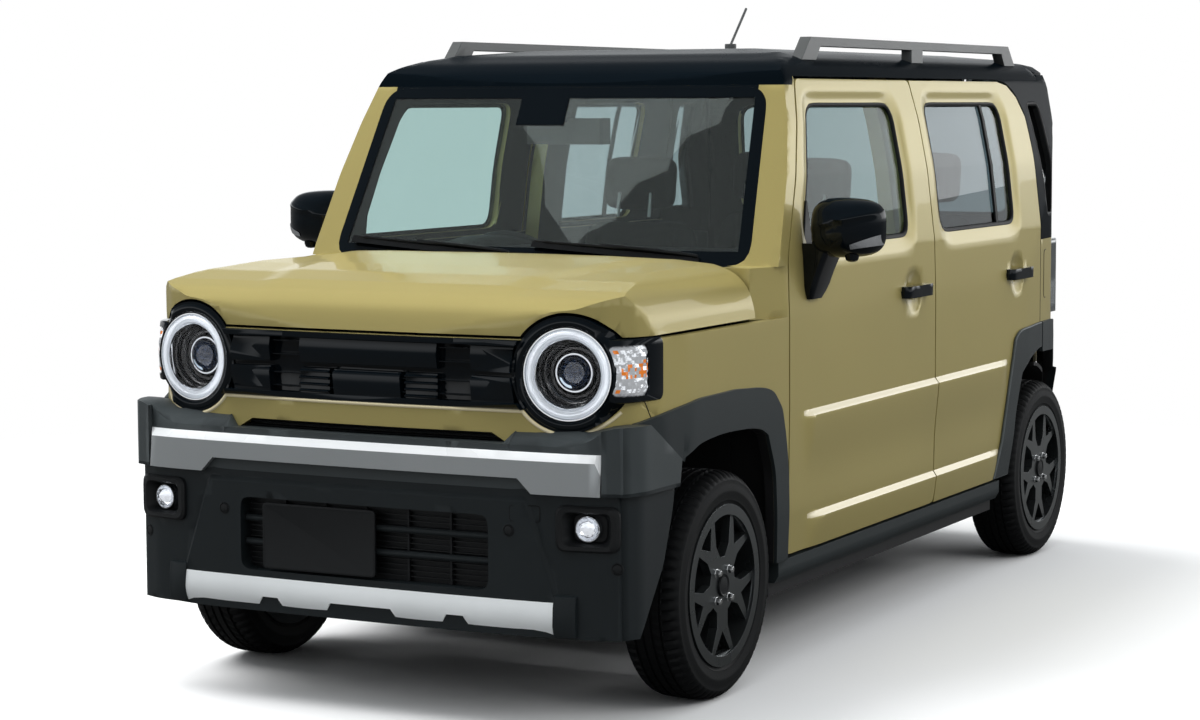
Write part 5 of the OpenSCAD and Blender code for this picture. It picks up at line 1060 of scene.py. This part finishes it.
# Intake: thin fins, dividers and two round bars
INTAKE_HALF = 0.352
for k in range(13):
    zz = 0.345 + 0.0136 * k
    loft("intake_fin_%d" % k, strip(-INTAKE_HALF, INTAKE_HALF,
        [(zz, -0.034), (zz + 0.001, -0.024), (zz + 0.004, -0.024), (zz + 0.003, -0.034)], 16, bump_x), "dark",
        "body", "grey_plastic", caps=BOTH)
for k, y in enumerate((-0.24, -0.12, 0.0, 0.12, 0.24)):
    loft("intake_divider_%d" % k, strip(y - 0.003, y + 0.003, [(0.336, -0.034), (0.336, -0.020), (0.517, -0.020),
        (0.517, -0.034)], 1, bump_x), "dark", "body", "grey_plastic", caps=BOTH, bevel=0.001)
for k, zz in enumerate((0.403, 0.463)):
    tube("intake_bar_%d" % k, [(bump_x(y) - 0.014, y, zz) for y in np.linspace(-INTAKE_HALF, INTAKE_HALF, 17)],
        0.0085, "plastic", "body")

# Blank front plate on its two posts
plate = rounded(box_outline(-0.2885, 0.0415, 0.342, 0.507), 0.012, 4)
px = FX + 0.553
o = loft("plate_face", [[Vector((px - 0.006, y, z)) for y, z in plate], [Vector((px, y, z)) for y, z in plate],
    [Vector((px + 0.001, y, z)) for y, z in inset(plate, 0.003)],
    [Vector((px + 0.0002, y, z)) for y, z in inset(plate, 0.006)]], "dark", "body", "grey_plastic", caps=BOTH)
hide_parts("front_plate")
blocks("plate_posts", [((FX + 0.500, -0.1235 + k * 0.0825 - 0.02, 0.42), (px - 0.005, -0.1235 + k * 0.0825 + 0.02,
    0.44)) for k in (-1, 1)], "dark", "body")

# Round sensors, towing cover, skid caps and skid recesses
for k, (y, z) in enumerate(((-0.408, 0.485), (0.414, 0.485), (-0.672, 0.405), (0.682, 0.404))):
    e = 0.004
    slope = (bump_x(y + e) - bump_x(y - e)) / (2 * e)
    n = Vector((1, -slope, 0)).normalized()
    at = Vector((bump_x(y) + (0.009 if abs(y) < 0.5 else 0.0), y, z))
    revolve("sensor_%d" % k, [(0.0145, -0.004), (0.0145, 0.001), (0.0130, 0.0022), (0.0115, 0.001),
        (0.0112, -0.001), (0.0105, 0.0012), (0.0090, 0.0018), (0.0, 0.0018)], at, n, "dark", "body", 32)
tow = rounded(box_outline(0.416, 0.492, 0.508, 0.546), 0.008, 4)
tube("tow_cover_seam", [(bump_x(y) + 0.0085 * ease((intake_half(z) - y) / 0.012), y, z) for y, z in tow], 0.0012,
    "rubber", "body", closed=True)
for s, side in SIDES:
    rows = []
    for y in (0.532, 0.545, 0.565, 0.580, 0.588):
        f = 1 if y < 0.57 else 0.8
        line = [(0.232, -0.010), (0.236, 0.012 * f), (0.262, 0.019 * f), (0.306, 0.017 * f), (0.334, 0.011 * f),
            (0.340, -0.010)]
        rows.append([Vector((bump_x(y) + o, s * y, z)) for z, o in line])
    loft("skid_cap_" + side, rows, "plastic", "body", "grey_plastic", caps=BOTH, bevel=0.003)
for k, (c, hw) in enumerate(((-0.5, 0.1), (0.0, 0.22), (0.5, 0.1))):
    y0, y1 = (c - hw) * 0.535 + 0.016, (c + hw) * 0.535 - 0.016
    loft("skid_recess_%d" % k, strip(y0 - 0.014, y1 + 0.014, [(0.238, 0.0), (0.240, 0.008), (0.271, 0.008),
        (0.273, 0.0)], 8, bump_x), "flare", "body", "grey_plastic", caps=BOTH, bevel=0.001)

# Seals round the side windows
WINDOWS = {
    "front_seal": (DOOR_WINDOWS["front"], 0.060, "front_door_"),
    "rear_seal": (DOOR_WINDOWS["rear"], 0.060, "rear_door_"),
    "quarter_seal": ([(RX - 0.210, 1.120), (RX - 0.085, 1.120), (RX - 0.025, WINDOW_TOP), (RX - 0.150, WINDOW_TOP)],
                     0.030, None),
}
for s, side in SIDES:
    for name, (pts, r, door) in WINDOWS.items():
        dense = divided(rounded(pts, r, 5), 0.05)

        def seal_loop(t, deep):
            return [Vector((x, s * (side_y(x, z) - deep), z)) for x, z in inset(dense, t)]
        dip = DIP if door else 0.0
        loft(name + "_" + side, [seal_loop(-0.002, dip + 0.006), seal_loop(0.001, dip - 0.0005),
            seal_loop(0.006, dip - 0.001), seal_loop(0.011, dip + 0.002), seal_loop(0.013, 0.0195)], "rubber",
            door + side if door else "body", "gloss_black")
    z = np.linspace(1.110, 1.494, 9)
    loft("rear_window_post_" + side, [[Vector((x, s * (side_y(x, q) - d), q))
        for x, d in ((-0.948, 0.020), (-0.948, 0.012), (-0.926, 0.012), (-0.926, 0.020))] for q in z], "rubber",
        "rear_door_" + side, "gloss_black", caps=BOTH, bevel=0.002)

# Door mirrors: a domed head with a crease, repeater strip, knob and glass, on a tapered arm, with a corner panel
# centre and half size of the head across and up, x of its glass, and its depth
MIRROR_X, HEAD_L = A(562), 0.098
HEAD = (0.8320, 0.1000, 1.1670, 0.0790)


def head_point(t, deep, share=1.0):
    """A point of the mirror's head: angle round it, depth from the glass (0) to the front (1)."""
    cy, a, cz, b = HEAD
    c, q = math.cos(t), math.sin(t)
    k = share * (1 - max(0.0, deep) ** 2.7) ** (1 / 2.7)
    u = math.copysign(abs(c) ** 0.46, c)
    w = math.copysign(abs(q) ** 0.50, q)
    y = cy + a * k * u
    tall = 1 - 0.07 * u - 0.09 * u * u - (0.10 * max(0.0, -u) ** 3 if w > 0 else 0.06 * max(0.0, u) ** 3)
    z = cz + b * k * w * tall
    x = MIRROR_X + HEAD_L * deep * (1 - 0.34 * max(0.0, u * k) ** 2)
    ridge = z - (cz + 0.022 + 0.022 * (y - cy) / a)
    x += 0.0060 * math.exp(-(ridge / 0.009) ** 2) * ease((deep - 0.35) / 0.3) * (1 - ease((deep - 0.985) / 0.015))
    return Vector((x, y, z))


for s, side in SIDES:
    flip = Vector((1, s, 1))
    door = "front_door_" + side
    rows = [[head_point(t, 0.06, 0.90) * flip for t in ROUND], [head_point(t, 0.0, 0.955) * flip for t in ROUND]]
    for deep in (0.0, 0.12, 0.28, 0.44, 0.58, 0.70, 0.79, 0.86, 0.91, 0.945, 0.970, 0.985, 0.994, 0.999):
        rows.append([head_point(t, deep) * flip for t in ROUND])
    o = loft("mirror_head_" + side, rows, "black", door, "gloss_black", caps=BOTH, smooth=50)
    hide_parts("mirror_" + side)
    glass = [head_point(t, 0.0, 0.90) for t in ROUND]
    loft("mirror_glass_" + side, [[Vector((MIRROR_X + 0.006, p.y * s, p.z)) for p in glass],
        [Vector((MIRROR_X + 0.0035, p.y * s, p.z)) for p in glass]], "mirror", door, "window_glass", caps=BOTH)
    arm = []
    for f in np.linspace(0, 1, 9):
        z = 0.976 + 0.150 * f
        tip = 0.014 * (1 - ease(f / 0.20))
        pts = rounded(box_outline(A(604) + tip, A(500 - 10 * f) - tip, 0.7160,
            0.7480 + 0.058 * f ** 1.3 - 0.6 * tip), 0.016, 4)
        arm.append([Vector((x, s * y, z)) for x, y in pts])
    loft("mirror_arm_" + side, arm, "black", door, "gloss_black", caps=BOTH, smooth=50)
    revolve("mirror_knob_" + side, [(0.0, -0.014), (0.010, -0.013), (0.016, -0.009), (0.019, 0.0), (0.019, 0.016)],
        (A(520), s * 0.852, 1.092), (0, 0, 1), "black", door, 32)
    loops = []
    for f in np.linspace(0, 1, 10):
        y = 0.862 + 0.066 * f
        low, high = 1.113 + 0.010 * f, 1.125 + 0.026 * f
        row = []
        for z in np.linspace(low, high, 5):
            # the head's surface at this point, found along its depth
            best = 0.0
            for deep in np.linspace(0.0, 0.999, 160):
                k = (1 - deep ** 2.7) ** (1 / 2.7)
                u = (y - HEAD[0]) / (HEAD[1] * k)
                if abs(u) >= 1:
                    break
                w = (1 - abs(u) ** (2 / 0.46)) ** 0.25
                tall = 1 - 0.07 * u - 0.09 * u * u - 0.06 * max(0.0, u) ** 3
                if HEAD[2] - HEAD[3] * k * w * tall > z:
                    break
                best = deep
            u = min(1.0, (y - HEAD[0]) / HEAD[1])
            row.append(Vector((MIRROR_X + HEAD_L * best * (1 - 0.34 * u * u) + 0.0025, s * (y + 0.001), z)))
        row.append(row[-1] - Vector((0.008, 0, 0)))
        row.insert(0, row[0] - Vector((0.008, 0, 0)))
        loops.append(row)
    loft("repeater_" + side, loops, "facet", door, "lamp_glass", closed=False, smooth=12)
    sail = rounded([(A(512), 1.098), (A(580), 1.098), (A(577), 1.236), (A(566), 1.236)], 0.006, 3)
    loft("mirror_sail_" + side, [[Vector((x, s * (side_y(x, z) - d), z))
        for x, z in (sail if d > 0.006 else inset(sail, 0.002))] for d in (0.0190, 0.0065, 0.0050)], "dark", door,
        "gloss_black", caps=BOTH)

# Upper front corner of the rear doors, square to the front door
for s, side in SIDES:
    top, front = 1.5615, -0.3415
    b = np.array((front, top))
    p, q = b - (0.200, 0), b - (0, 0.200)
    rows = []
    for t in np.linspace(0, 1, 21):
        curve = p * (1 - t) ** 2 + b * 2 * t * (1 - t) + q * t * t - 0.006
        edge = p + (b - p) * 2 * t if t < 0.5 else b + (q - b) * (2 * t - 1)
        edge = np.maximum(edge, curve)
        line = [curve + (edge - curve) * f for f in np.linspace(0, 1, 6)]
        rows.append([Vector((x, s * side_y(x, z), z))
            for x, z in line] + [Vector((x, s * (side_y(x, z) - 0.040), z)) for x, z in reversed(line)])
    loft("rear_door_corner_" + side, rows, "paint", "rear_door_" + side, "body_paint", caps=BOTH, bevel=0.002,
        smooth=40)


# Back: window seal, wiper, stop lamp, handle, crease and reflectors
def tree_of(*names):
    """A search tree over the surfaces of CAD nodes."""
    verts, faces = [], []
    for n in names:
        me = nodes[n].data
        k = len(verts)
        verts += [v.co.copy() for v in me.vertices]
        faces += [[i + k for i in f.vertices] for f in me.polygons]
    return BVHTree.FromPolygons(verts, faces)


gate_tree = tree_of("tailgate", "tailgate_glass")
tail_tree = tree_of("rear_bumper")


def on_back(y, z, out, tree=gate_tree):
    """A point that stands out from the back's surface."""
    hit = tree.ray_cast(Vector((-3, y, z)), Vector((1, 0, 0)))
    if hit[0] is None or hit[0].x > -1.50:
        hit = tree.find_nearest(Vector((-1.66, y, z)))
    return Vector((hit[0].x - out, y, z))


def back_piece(name, outline, steps, mats, body, slot, tree=gate_tree, **kw):
    """A piece on the back: loops of an outline at (out, inset) steps off the surface."""
    loft(name, [[on_back(y, z, o, tree) for y, z in inset(outline, t)] for o, t in steps], mats, body, slot, **kw)


back_piece("gate_window_seal", divided(rounded(box_outline(-0.500, 0.500, 1.110, 1.490), 0.060, 6), 0.06),
    ((-0.003, -0.016), (0.0012, -0.015), (0.0016, -0.004), (0.002, 0.0045), (0.0005, 0.010)), "rubber", "tailgate",
    "gloss_black")
revolve("gate_wiper_pivot", [(0.024, -0.004), (0.024, 0.010), (0.018, 0.016), (0.0, 0.018)], on_back(0, 1.072, 0),
    (-1, 0, 0), "dark", "tailgate", 36)
tube("gate_wiper_arm", [on_back(0, 1.072, 0.014), on_back(-0.06, 1.100, 0.020), on_back(-0.16, 1.142, 0.020),
    on_back(-0.27, 1.158, 0.016)], 0.0058, "dark", "tailgate")
tube("gate_wiper_blade", [on_back(y, 1.160 + 0.01 * math.sin(4 * y), 0.009) for y in np.linspace(-0.42, -0.10, 14)],
    0.0055, "rubber", "tailgate")
back_piece("stop_lamp", rounded(box_outline(-0.140, 0.140, 1.562, 1.584), 0.008, 4),
    ((-0.004, 0.0), (0.003, 0.0), (0.0045, 0.002)), "red", "tailgate", "red_lens", caps=(False, True))
back_piece("gate_handle", rounded(box_outline(-0.260, 0.260, 0.985, 1.030), 0.014, 5),
    ((-0.004, 0.0), (0.014, 0.001), (0.019, 0.006)), "black", "tailgate", "gloss_black", caps=(False, True),
    bevel=0.002)
# a thin dark line along the tailgate's crease: painted shade
tube("gate_crease", [on_back(y, 0.800, 0.0004) for y in np.linspace(-0.585, 0.585, 30)], 0.0016, "rubber",
    "tailgate")
for s, side in SIDES:
    back_piece("rear_reflector_" + side, rounded(box_outline(s * 0.555 - 0.055, s * 0.555 + 0.055, 0.487, 0.520),
        0.008, 4), ((-0.003, 0.0), (0.003, 0.0), (0.0045, 0.003)), "red", "body", "red_lens", tail_tree,
        caps=(False, True))
for k, z in enumerate((0.412, 0.440, 0.560)):
    tube("rear_bumper_line_%d" % k, [on_back(y, z, -0.0022, tail_tree) for y in np.linspace(-0.66, 0.66, 40)],
        0.0026, "rubber", "body")
back_piece("rear_skid", divided(rounded(box_outline(-0.420, 0.420, 0.285, 0.345), 0.020, 5), 0.05),
    ((-0.002, 0.0), (0.0, 0.0), (-0.0002, 0.003)), "silver", "body", "silver_paint", tail_tree, caps=(False, True),
    bevel=0.001)

# Fuel lid seam on the left
lid = rounded(box_outline(A(2690), A(2507), 0.851, 1.010), 0.018, 5)
tube("fuel_lid_seam", [(x, side_y(x, z) + 0.0002, z) for x, z in lid], 0.0013, "rubber", "body",
    closed=True)


# Seats: padded fabric with sewn channels, on plastic bases
def swell(o, voxel, cap, frames=20):
    """Inflates a pad with cloth under pressure and keeps each point's move under a cap."""
    rm = o.modifiers.new("remesh", "REMESH")
    rm.mode = "VOXEL"
    rm.voxel_size = voxel
    bpy.context.view_layer.update()
    me = bpy.data.meshes.new_from_object(o.evaluated_get(bpy.context.evaluated_depsgraph_get()))
    o.modifiers.clear()
    o.data = me
    base = np.empty(len(me.vertices) * 3)
    me.vertices.foreach_get("co", base)
    cl = o.modifiers.new("cloth", "CLOTH")
    cl.settings.use_pressure = True
    cl.settings.uniform_pressure_force = 4
    cl.settings.effector_weights.gravity = 0
    cl.settings.quality = 4
    cl.point_cache.frame_start, cl.point_cache.frame_end = 1, frames
    for k in range(1, frames + 1):
        scene.frame_set(k)
    got = bpy.data.meshes.new_from_object(o.evaluated_get(bpy.context.evaluated_depsgraph_get()))
    co = np.empty_like(base)
    got.vertices.foreach_get("co", co)
    o.modifiers.clear()
    scene.frame_set(1)
    move = (co - base).reshape(-1, 3)
    far = np.linalg.norm(move, axis=1)
    move *= np.minimum(1, cap / np.maximum(far, 1e-9))[:, None]
    me.vertices.foreach_set("co", (base.reshape(-1, 3) + move).ravel())
    bpy.data.meshes.remove(got)


def pad(name, size, place, channels, cap=0.022, pinch=0.05):
    """A crowned pad with sides that pull in; channels are (axis, at, depth) on its face (+z)."""
    n = [max(4, int(v / 0.026)) for v in size]
    bm = bmesh.new()
    bmesh.ops.create_cube(bm, size=1)
    for ax in range(3):
        for k in range(1, n[ax]):
            c, d = [0, 0, 0], [0, 0, 0]
            c[ax], d[ax] = k / n[ax] - 0.5, 1
            bmesh.ops.bisect_plane(bm, geom=bm.verts[:] + bm.edges[:] + bm.faces[:], dist=1e-5, plane_co=c, plane_no=d)
    for v in bm.verts:
        u = v.co * 2
        r = max(1.0, (abs(u.x) ** 5 + abs(u.y) ** 5 + abs(u.z) ** 5) ** 0.2)
        q = u / r
        v.co = Vector((q.x * size[0] * (1 - pinch * (1 - u.y * u.y)), q.y * size[1] * (1 - pinch * (1 - u.x * u.x)),
            q.z * size[2] * (1 - 0.16 * (u.x * u.x + u.y * u.y) / 2))) / 2
    o = add(name, bm, "fabric", "body", smooth=80)
    swell(o, 0.011, cap)
    o.data.materials.clear()
    o.data.materials.append(M["fabric"])
    sub = o.modifiers.new("subd", "SUBSURF")
    sub.levels = sub.render_levels = 1
    bpy.context.view_layer.update()
    done = bpy.data.meshes.new_from_object(o.evaluated_get(bpy.context.evaluated_depsgraph_get()))
    o.modifiers.clear()
    o.data = done
    me = o.data
    co = np.empty(len(me.vertices) * 3)
    me.vertices.foreach_get("co", co)
    co = co.reshape(-1, 3)
    # the pad stays in the box that its solid holds
    for ax in range(3):
        half = size[ax] / 2
        big = max(np.max(np.abs(co[:, ax])), 1e-9)
        if big > half:
            co[:, ax] *= half / big
    face = np.clip(co[:, 2] / (size[2] / 2), 0, 1)
    for ax, at, deep in channels:
        co[:, 2] -= deep * face * np.exp(-((co[:, ax] - at) / 0.009) ** 2)
    co = co @ np.array(place.to_3x3()).T + np.array(place.translation)
    me.vertices.foreach_set("co", co.ravel())
    me.update()
    me.shade_smooth()
    return o


def lean_matrix(x, y, z):
    """Frame of a seat back: its face looks forward, its length runs up the lean."""
    along = Vector((-0.090, 0, 0.600)).normalized()
    face = Vector((along.z, 0, -along.x))
    return Matrix.Translation((x, y, z)) @ Matrix((face.cross(along) * -1, along, face)).transposed().to_4x4()


# name, front edge, centre, width, underside, sewn lines across and headrests of each seat; cushion's length and top
SEATS = [("driver", A(900.4), -0.295, 0.450, 0.430, (-0.130, 0.130), [0.0]),
         ("passenger", A(900.4), 0.295, 0.450, 0.430, (-0.130, 0.130), [0.0]),
         ("bench", RX + 0.600, 0.0, 1.040, 0.455, (-0.390, -0.200, 0.200, 0.390), [-0.295, 0.295])]
SEAT_L, SEAT_TOP = 0.520, 0.560
for name, x, y, wide, low, lines, heads in SEATS:
    chan = [(1, v, 0.010) for v in lines] + [(0, -0.10, 0.006), (0, 0.08, 0.006)]
    pad("seat_cushion_" + name, (SEAT_L, wide, SEAT_TOP - low),
        Matrix.Translation((x - SEAT_L / 2, y, (SEAT_TOP + low) / 2)), chan)
    chan = [(0, v, 0.009) for v in lines] + [(1, -0.12, 0.006), (1, 0.06, 0.006)]
    pad("seat_back_" + name, (wide, 0.606, 0.098), lean_matrix(x - SEAT_L - 0.045 - 0.055, y,
        0.858), chan)
    for h in heads:
        tag = name if len(heads) == 1 else name + ("_right" if h < 0 else "_left")
        place = lean_matrix(x - SEAT_L - 0.090 - 0.045, y + h, 1.244)
        pad("headrest_" + tag, (0.250, 0.172, 0.088), place,
            [(0, -0.085, 0.003), (0, 0.085, 0.003)], 0.012)
        for k in (-1, 1):
            tube("headrest_post_%s_%d" % (tag, (k + 1) // 2), [(x - SEAT_L - 0.080, y + h + k * 0.055, 1.140),
                (x - SEAT_L - 0.094, y + h + k * 0.055, 1.215)], 0.0055, "steel", "body")
    if name != "bench":
        base = [[Vector((x - 0.500 + 0.470 * a, y + b, z)) for a, b in rounded([(0, -w), (1, -w), (1, w), (0, w)],
            0.05, 4)] for z, w in ((0.252, 0.205), (0.300, 0.212), (0.380, 0.218), (0.445, 0.200))]
        loft("seat_base_" + name, base, "cabin", "body", "cabin_plastic", caps=BOTH, bevel=0.004)
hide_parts("seats")

# Dashboard top, instrument hood, screen, vents and console
line = [(A(372), 1.020), (A(376), 1.052), (A(420), 1.072), (A(540), 1.090), (A(640), 1.098), (A(680), 1.092),
    (A(697), 1.070), (A(696), 1.020)]
loft("dash_pad", [[Vector((x, y, z - 0.030 * max(0.0, abs(y) - 0.50) / 0.07)) for x, z in line]
    for y in (-0.568, -0.555, -0.50, -0.25, 0.0, 0.25, 0.50, 0.555, 0.568)], "cabin", "body", "cabin_plastic",
    caps=BOTH, bevel=0.006, smooth=40)
hood = []
for x, grow in ((A(560), 0.55), (A(600), 0.9), (A(660), 1.0), (A(699), 0.96)):
    hood.append([Vector((x, -0.330 + 0.170 * grow * math.cos(t), 1.068 + 0.052 * grow * math.sin(t)))
        for t in np.radians(np.linspace(0, 180, 19))])
loft("instrument_hood", hood, "cabin", "body", "cabin_plastic", closed=False, smooth=60)
loft("instrument_face", [[Vector((A(690), -0.330 + 0.160 * g * math.cos(t), 1.060 + 0.046 * g * math.sin(t)))
    for t in np.radians(np.linspace(0, 180, 19))] for g in (1.0, 0.5, 0.02)], "black", "body", "gloss_black",
    closed=False)
shape = rounded(box_outline(-0.125, 0.125, 0.945, 1.062), 0.012, 4)
loft("centre_screen", [[Vector((A(700 + d), y, z)) for y, z in inset(shape, t)]
    for d, t in ((0, 0.0), (8, 0.0), (10, 0.003), (9.5, 0.008))], "black", "body", "gloss_black", caps=BOTH)
for k, y in enumerate((-0.510, -0.165, 0.165, 0.510)):
    revolve("dash_vent_%d" % k, [(0.038, -0.004), (0.040, 0.006), (0.036, 0.009), (0.033, 0.006), (0.033, 0.001),
        (0.022, 0.003), (0.021, 0.006), (0.008, 0.007), (0.0, 0.007)], (A(694), y, 0.985), (-1, 0, 0.1), "dark",
        "body", 40)
glove = rounded(box_outline(0.170, 0.530, 0.770, 0.915), 0.020, 4)
tube("glove_box_seam", [(A(np.interp(z, [0.745, 0.945], [661, 700])) - 0.0005, y, z) for y, z in glove], 0.0016,
    "rubber", "body", closed=True)
con = [[Vector((A(d), y, z)) for y, z in rounded(box_outline(-0.062 - g, 0.062 + g, 0.262, top), 0.018, 4)]
    for d, top, g in ((640, 0.790, 0.030), (690, 0.740, 0.020), (740, 0.520, 0.004), (900, 0.440, 0.0),
    (1280, 0.430, 0.0))]
loft("centre_console", con, "cabin", "body", "cabin_plastic", caps=BOTH, bevel=0.004)
revolve("gear_knob", [(0.0, 0.085), (0.012, 0.084), (0.020, 0.076), (0.021, 0.060), (0.014, 0.044), (0.007, 0.036),
    (0.007, -0.02)], (A(770), 0.0, 0.510), (-0.2, 0, 1), "dark", "body", 32)

# Steering wheel: padded rim, hub and three spokes
frame_w = Matrix.Translation((A(835), -0.330, 0.955)) @ Matrix.Rotation(math.radians(118), 4, "Y")
axis_w = frame_w.to_3x3() @ Vector((0, 0, 1))
at_w = frame_w.translation
rim = [(0.180 + 0.0152 * math.cos(t), 0.0152 * math.sin(t)) for t in np.radians(np.linspace(0, 360, 19))]
o = revolve("steering_rim", rim, at_w, axis_w, "cabin", "steering_wheel", 96, smooth=80)
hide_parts("steering_wheel")
revolve("steering_hub", [(0.0, -0.036), (0.022, -0.035), (0.040, -0.031), (0.0500, -0.022), (0.0520, -0.008),
    (0.0480, 0.010), (0.036, 0.026), (0.014, 0.030)], at_w, axis_w, "cabin", "steering_wheel", 56)
for k, a in enumerate((-90, 0, 90)):
    m = frame_w @ Matrix.Rotation(math.radians(a), 4, "Z")
    rows = []
    for r, w, t, off in ((0.040, 0.032, 0.010, -0.012), (0.080, 0.022, 0.008, -0.010),
            (0.130, 0.015, 0.007, -0.004), (0.176, 0.018, 0.007, 0.0)):
        rows.append([m @ Vector((r, u, v + off)) for u, v in rounded(box_outline(-w, w, -t, t), 0.006, 3)])
    loft("steering_spoke_%d" % k, rows, "dark", "steering_wheel", "cabin_plastic", caps=BOTH, smooth=50)

# Wipers: arm, bowed yoke and blade on the screen
screen_tree = tree_of("windscreen")
SCREEN_FOOT = 1.080


def on_screen(y, z, out):
    """A point that stands out from the windscreen, or from its lower edge below it."""
    hit = screen_tree.ray_cast(Vector((3, y, max(z, SCREEN_FOOT))), Vector((-1, 0, 0)))
    return hit[0] + hit[1] * out + Vector((0, 0, min(0.0, z - SCREEN_FOOT)))


for k, (a, b) in enumerate(((-0.08, -0.80), (0.68, 0.02))):
    ya, yb = a * HALF_W, b * HALF_W
    za, zb = 1.094, 1.122

    def along(f, out, rise=0.0):
        return on_screen(ya + (yb - ya) * f, za + (zb - za) * f + rise, out)
    tube("wiper_arm_%d" % k, [along(-0.02, 0.013, -0.004)] + [along(f, 0.014 + 0.005 * math.sin(math.pi * f / 0.56),
        -0.002 + 0.010 * f) for f in np.linspace(0.02, 0.56, 9)], 0.0052, "dark", "body")
    tube("wiper_yoke_%d" % k, [along(f, 0.010 + 0.006 * math.sin(math.pi * f))
        for f in np.linspace(0.04, 0.99, 15)], 0.0042, "dark", "body")
    tube("wiper_blade_%d" % k, [along(f, 0.006) for f in np.linspace(0.0, 1.0, 15)], 0.0036, "rubber", "body")
    for q, f in enumerate((0.10, 0.30, 0.70, 0.90)):
        tube("wiper_claw_%d_%d" % (k, q), [along(f - 0.035, 0.010), along(f, 0.017), along(f + 0.035, 0.010)],
            0.0040, "dark", "body")

# Door cards: trim panel, arm rest, pull and speaker
for s, side in SIDES:
    for w, x0, x1 in (("front", A(1400), A(505)), ("rear", A(2040), A(1530))):
        body = w + "_door_" + side
        card = rounded(box_outline(x0, x1, 0.600 if w == "rear" else 0.400, 1.060), 0.040, 5)
        loft("door_card_" + body, [[Vector((x, s * y, z)) for x, z in inset(card, t)]
            for y, t in ((0.6690, 0.0), (0.6625, 0.001), (0.6600, 0.006))], "cabin", body, "cabin_plastic", caps=BOTH)
        mid = (x0 + x1) / 2
        rest = rounded(box_outline(mid - 0.20, mid + 0.19, 0.770, 0.835), 0.026, 5)
        loft("arm_rest_" + body, [[Vector((x, s * y, z)) for x, z in inset(rest, t)]
            for y, t in ((0.6610, 0.0), (0.6250, 0.002), (0.6150, 0.010))], "fabric", body, "seat_fabric",
            caps=BOTH, bevel=0.004)
        tube("door_pull_" + body, [(x1 - 0.150, s * 0.660, 0.900), (x1 - 0.155, s * 0.640, 0.905),
            (x1 - 0.215, s * 0.638, 0.915), (x1 - 0.220, s * 0.660, 0.920)], 0.007, "chrome", body)
        if w == "front":
            revolve("speaker_" + body, [(0.078, -0.002), (0.078, 0.005), (0.072, 0.007), (0.066, 0.004),
                (0.052, 0.0055), (0.038, 0.004), (0.024, 0.0055), (0.0, 0.0055)], (x1 - 0.160, s * 0.661, 0.510),
                (0, -s, 0), "dark", body, 48)


# Wheels: treaded tyres, rims with nuts and a plain cap
def tyre(name, cx, cy, s, body):
    """A tyre from its profile of (radius, half width), with blocks cut into shoulder and tread."""
    half = [(0.1925, 0.0728), (0.1990, 0.0738), (0.2060, 0.0740), (0.2120, 0.0765), (0.2150, 0.0790),
        (0.2180, 0.0792), (0.2240, 0.0805), (0.2330, 0.0818), (0.2360, 0.0825), (0.2390, 0.0825), (0.2420, 0.0820),
        (0.2520, 0.0808), (0.2600, 0.0790), (0.2640, 0.0795), (0.2670, 0.0790), (0.2740, 0.0740), (0.2800, 0.0680),
        (0.2850, 0.0600), (0.2878, 0.0510), (0.2888, 0.0420)]
    tread = [(0.2890, 0.0405), (0.2835, 0.0395), (0.2835, 0.0345), (0.2890, 0.0335), (0.2894, 0.0250),
        (0.2895, 0.0160), (0.2840, 0.0150), (0.2840, 0.0095), (0.2895, 0.0085), (0.2895, 0.0)]
    line = half + tread
    line += [(r, -w) for r, w in reversed(line[:-1])]
    pitch, per = 68, 4
    seg = pitch * per
    bm = bmesh.new()
    rings = []
    for r, w in line:
        row = []
        for k in range(seg):
            rr = r
            aw = abs(w)
            if 0.0415 < aw and r > 0.262:
                if k % per == 0:
                    rr -= 0.0052 * min(1.0, (r - 0.260) / 0.020)
            elif 0.0150 < aw < 0.0340 and r > 0.286:
                if (k + (2 if w > 0 else 0) + int((aw - 0.015) / 0.009)) % per == 0:
                    rr -= 0.0035
            t = 2 * math.pi * (k + 12 * w) / seg
            row.append(bm.verts.new((cx + rr * math.cos(t), s * cy + w, HUB + rr * math.sin(t))))
        rings.append(row)
    for a, b in zip(rings, rings[1:] + rings[:1]):
        for k in range(seg):
            j = (k + 1) % seg
            bm.faces.new((a[k], a[j], b[j], b[k]))
    bmesh.ops.recalc_face_normals(bm, faces=bm.faces)
    o = add(name + "_skin", bm, "tyre", body, smooth=32)
    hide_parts(name)


def open_bore(bm, cx):
    """Gives the spindle a hair of room in the rim's bore."""
    for v in bm.verts:
        d = Vector((v.co.x - cx, 0, v.co.z - HUB))
        if d.length < 0.020:
            v.co += d.normalized() * 0.0012


for name, cx, cy in (("fl", FX, TRACK_F), ("fr", FX, TRACK_F), ("rl", RX, TRACK_R), ("rr", RX, TRACK_R)):
    s = 1 if name[1] == "l" else -1
    body = "wheel_" + name
    tyre("tyre_" + name, cx, cy, s, body)
    o = panel("rim_" + name, ["rim", "rim_edge"], (0, 0, 0), shape=lambda bm: open_bore(bm, cx), passes=0, bevel=0.0035)
    # the rounded edges take the lighter metal: a machined finish and a painted highlight
    o.modifiers["bevel"].material = 1
    out = s * (cy + 0.072)
    for k in range(4):
        t = math.radians(45 + 90 * k)
        at = (cx + 0.050 * math.cos(t), out - s * 0.004, HUB + 0.050 * math.sin(t))
        revolve("nut_%s_%d" % (name, k), [(0.0125, 0.0), (0.0125, 0.005), (0.0105, 0.006), (0.0098, 0.014),
            (0.0075, 0.0175), (0.0, 0.0185)], at, (0, s, 0), "chrome", body, 6, smooth=20, bevel=0.0008)
    revolve("cap_" + name, [(0.0290, -0.002), (0.0290, 0.004), (0.0270, 0.0065), (0.0230, 0.0055), (0.0220, 0.0045),
        (0.0100, 0.0060), (0.0, 0.0064)], (cx, out, HUB), (0, s, 0), "dark", body, 48)
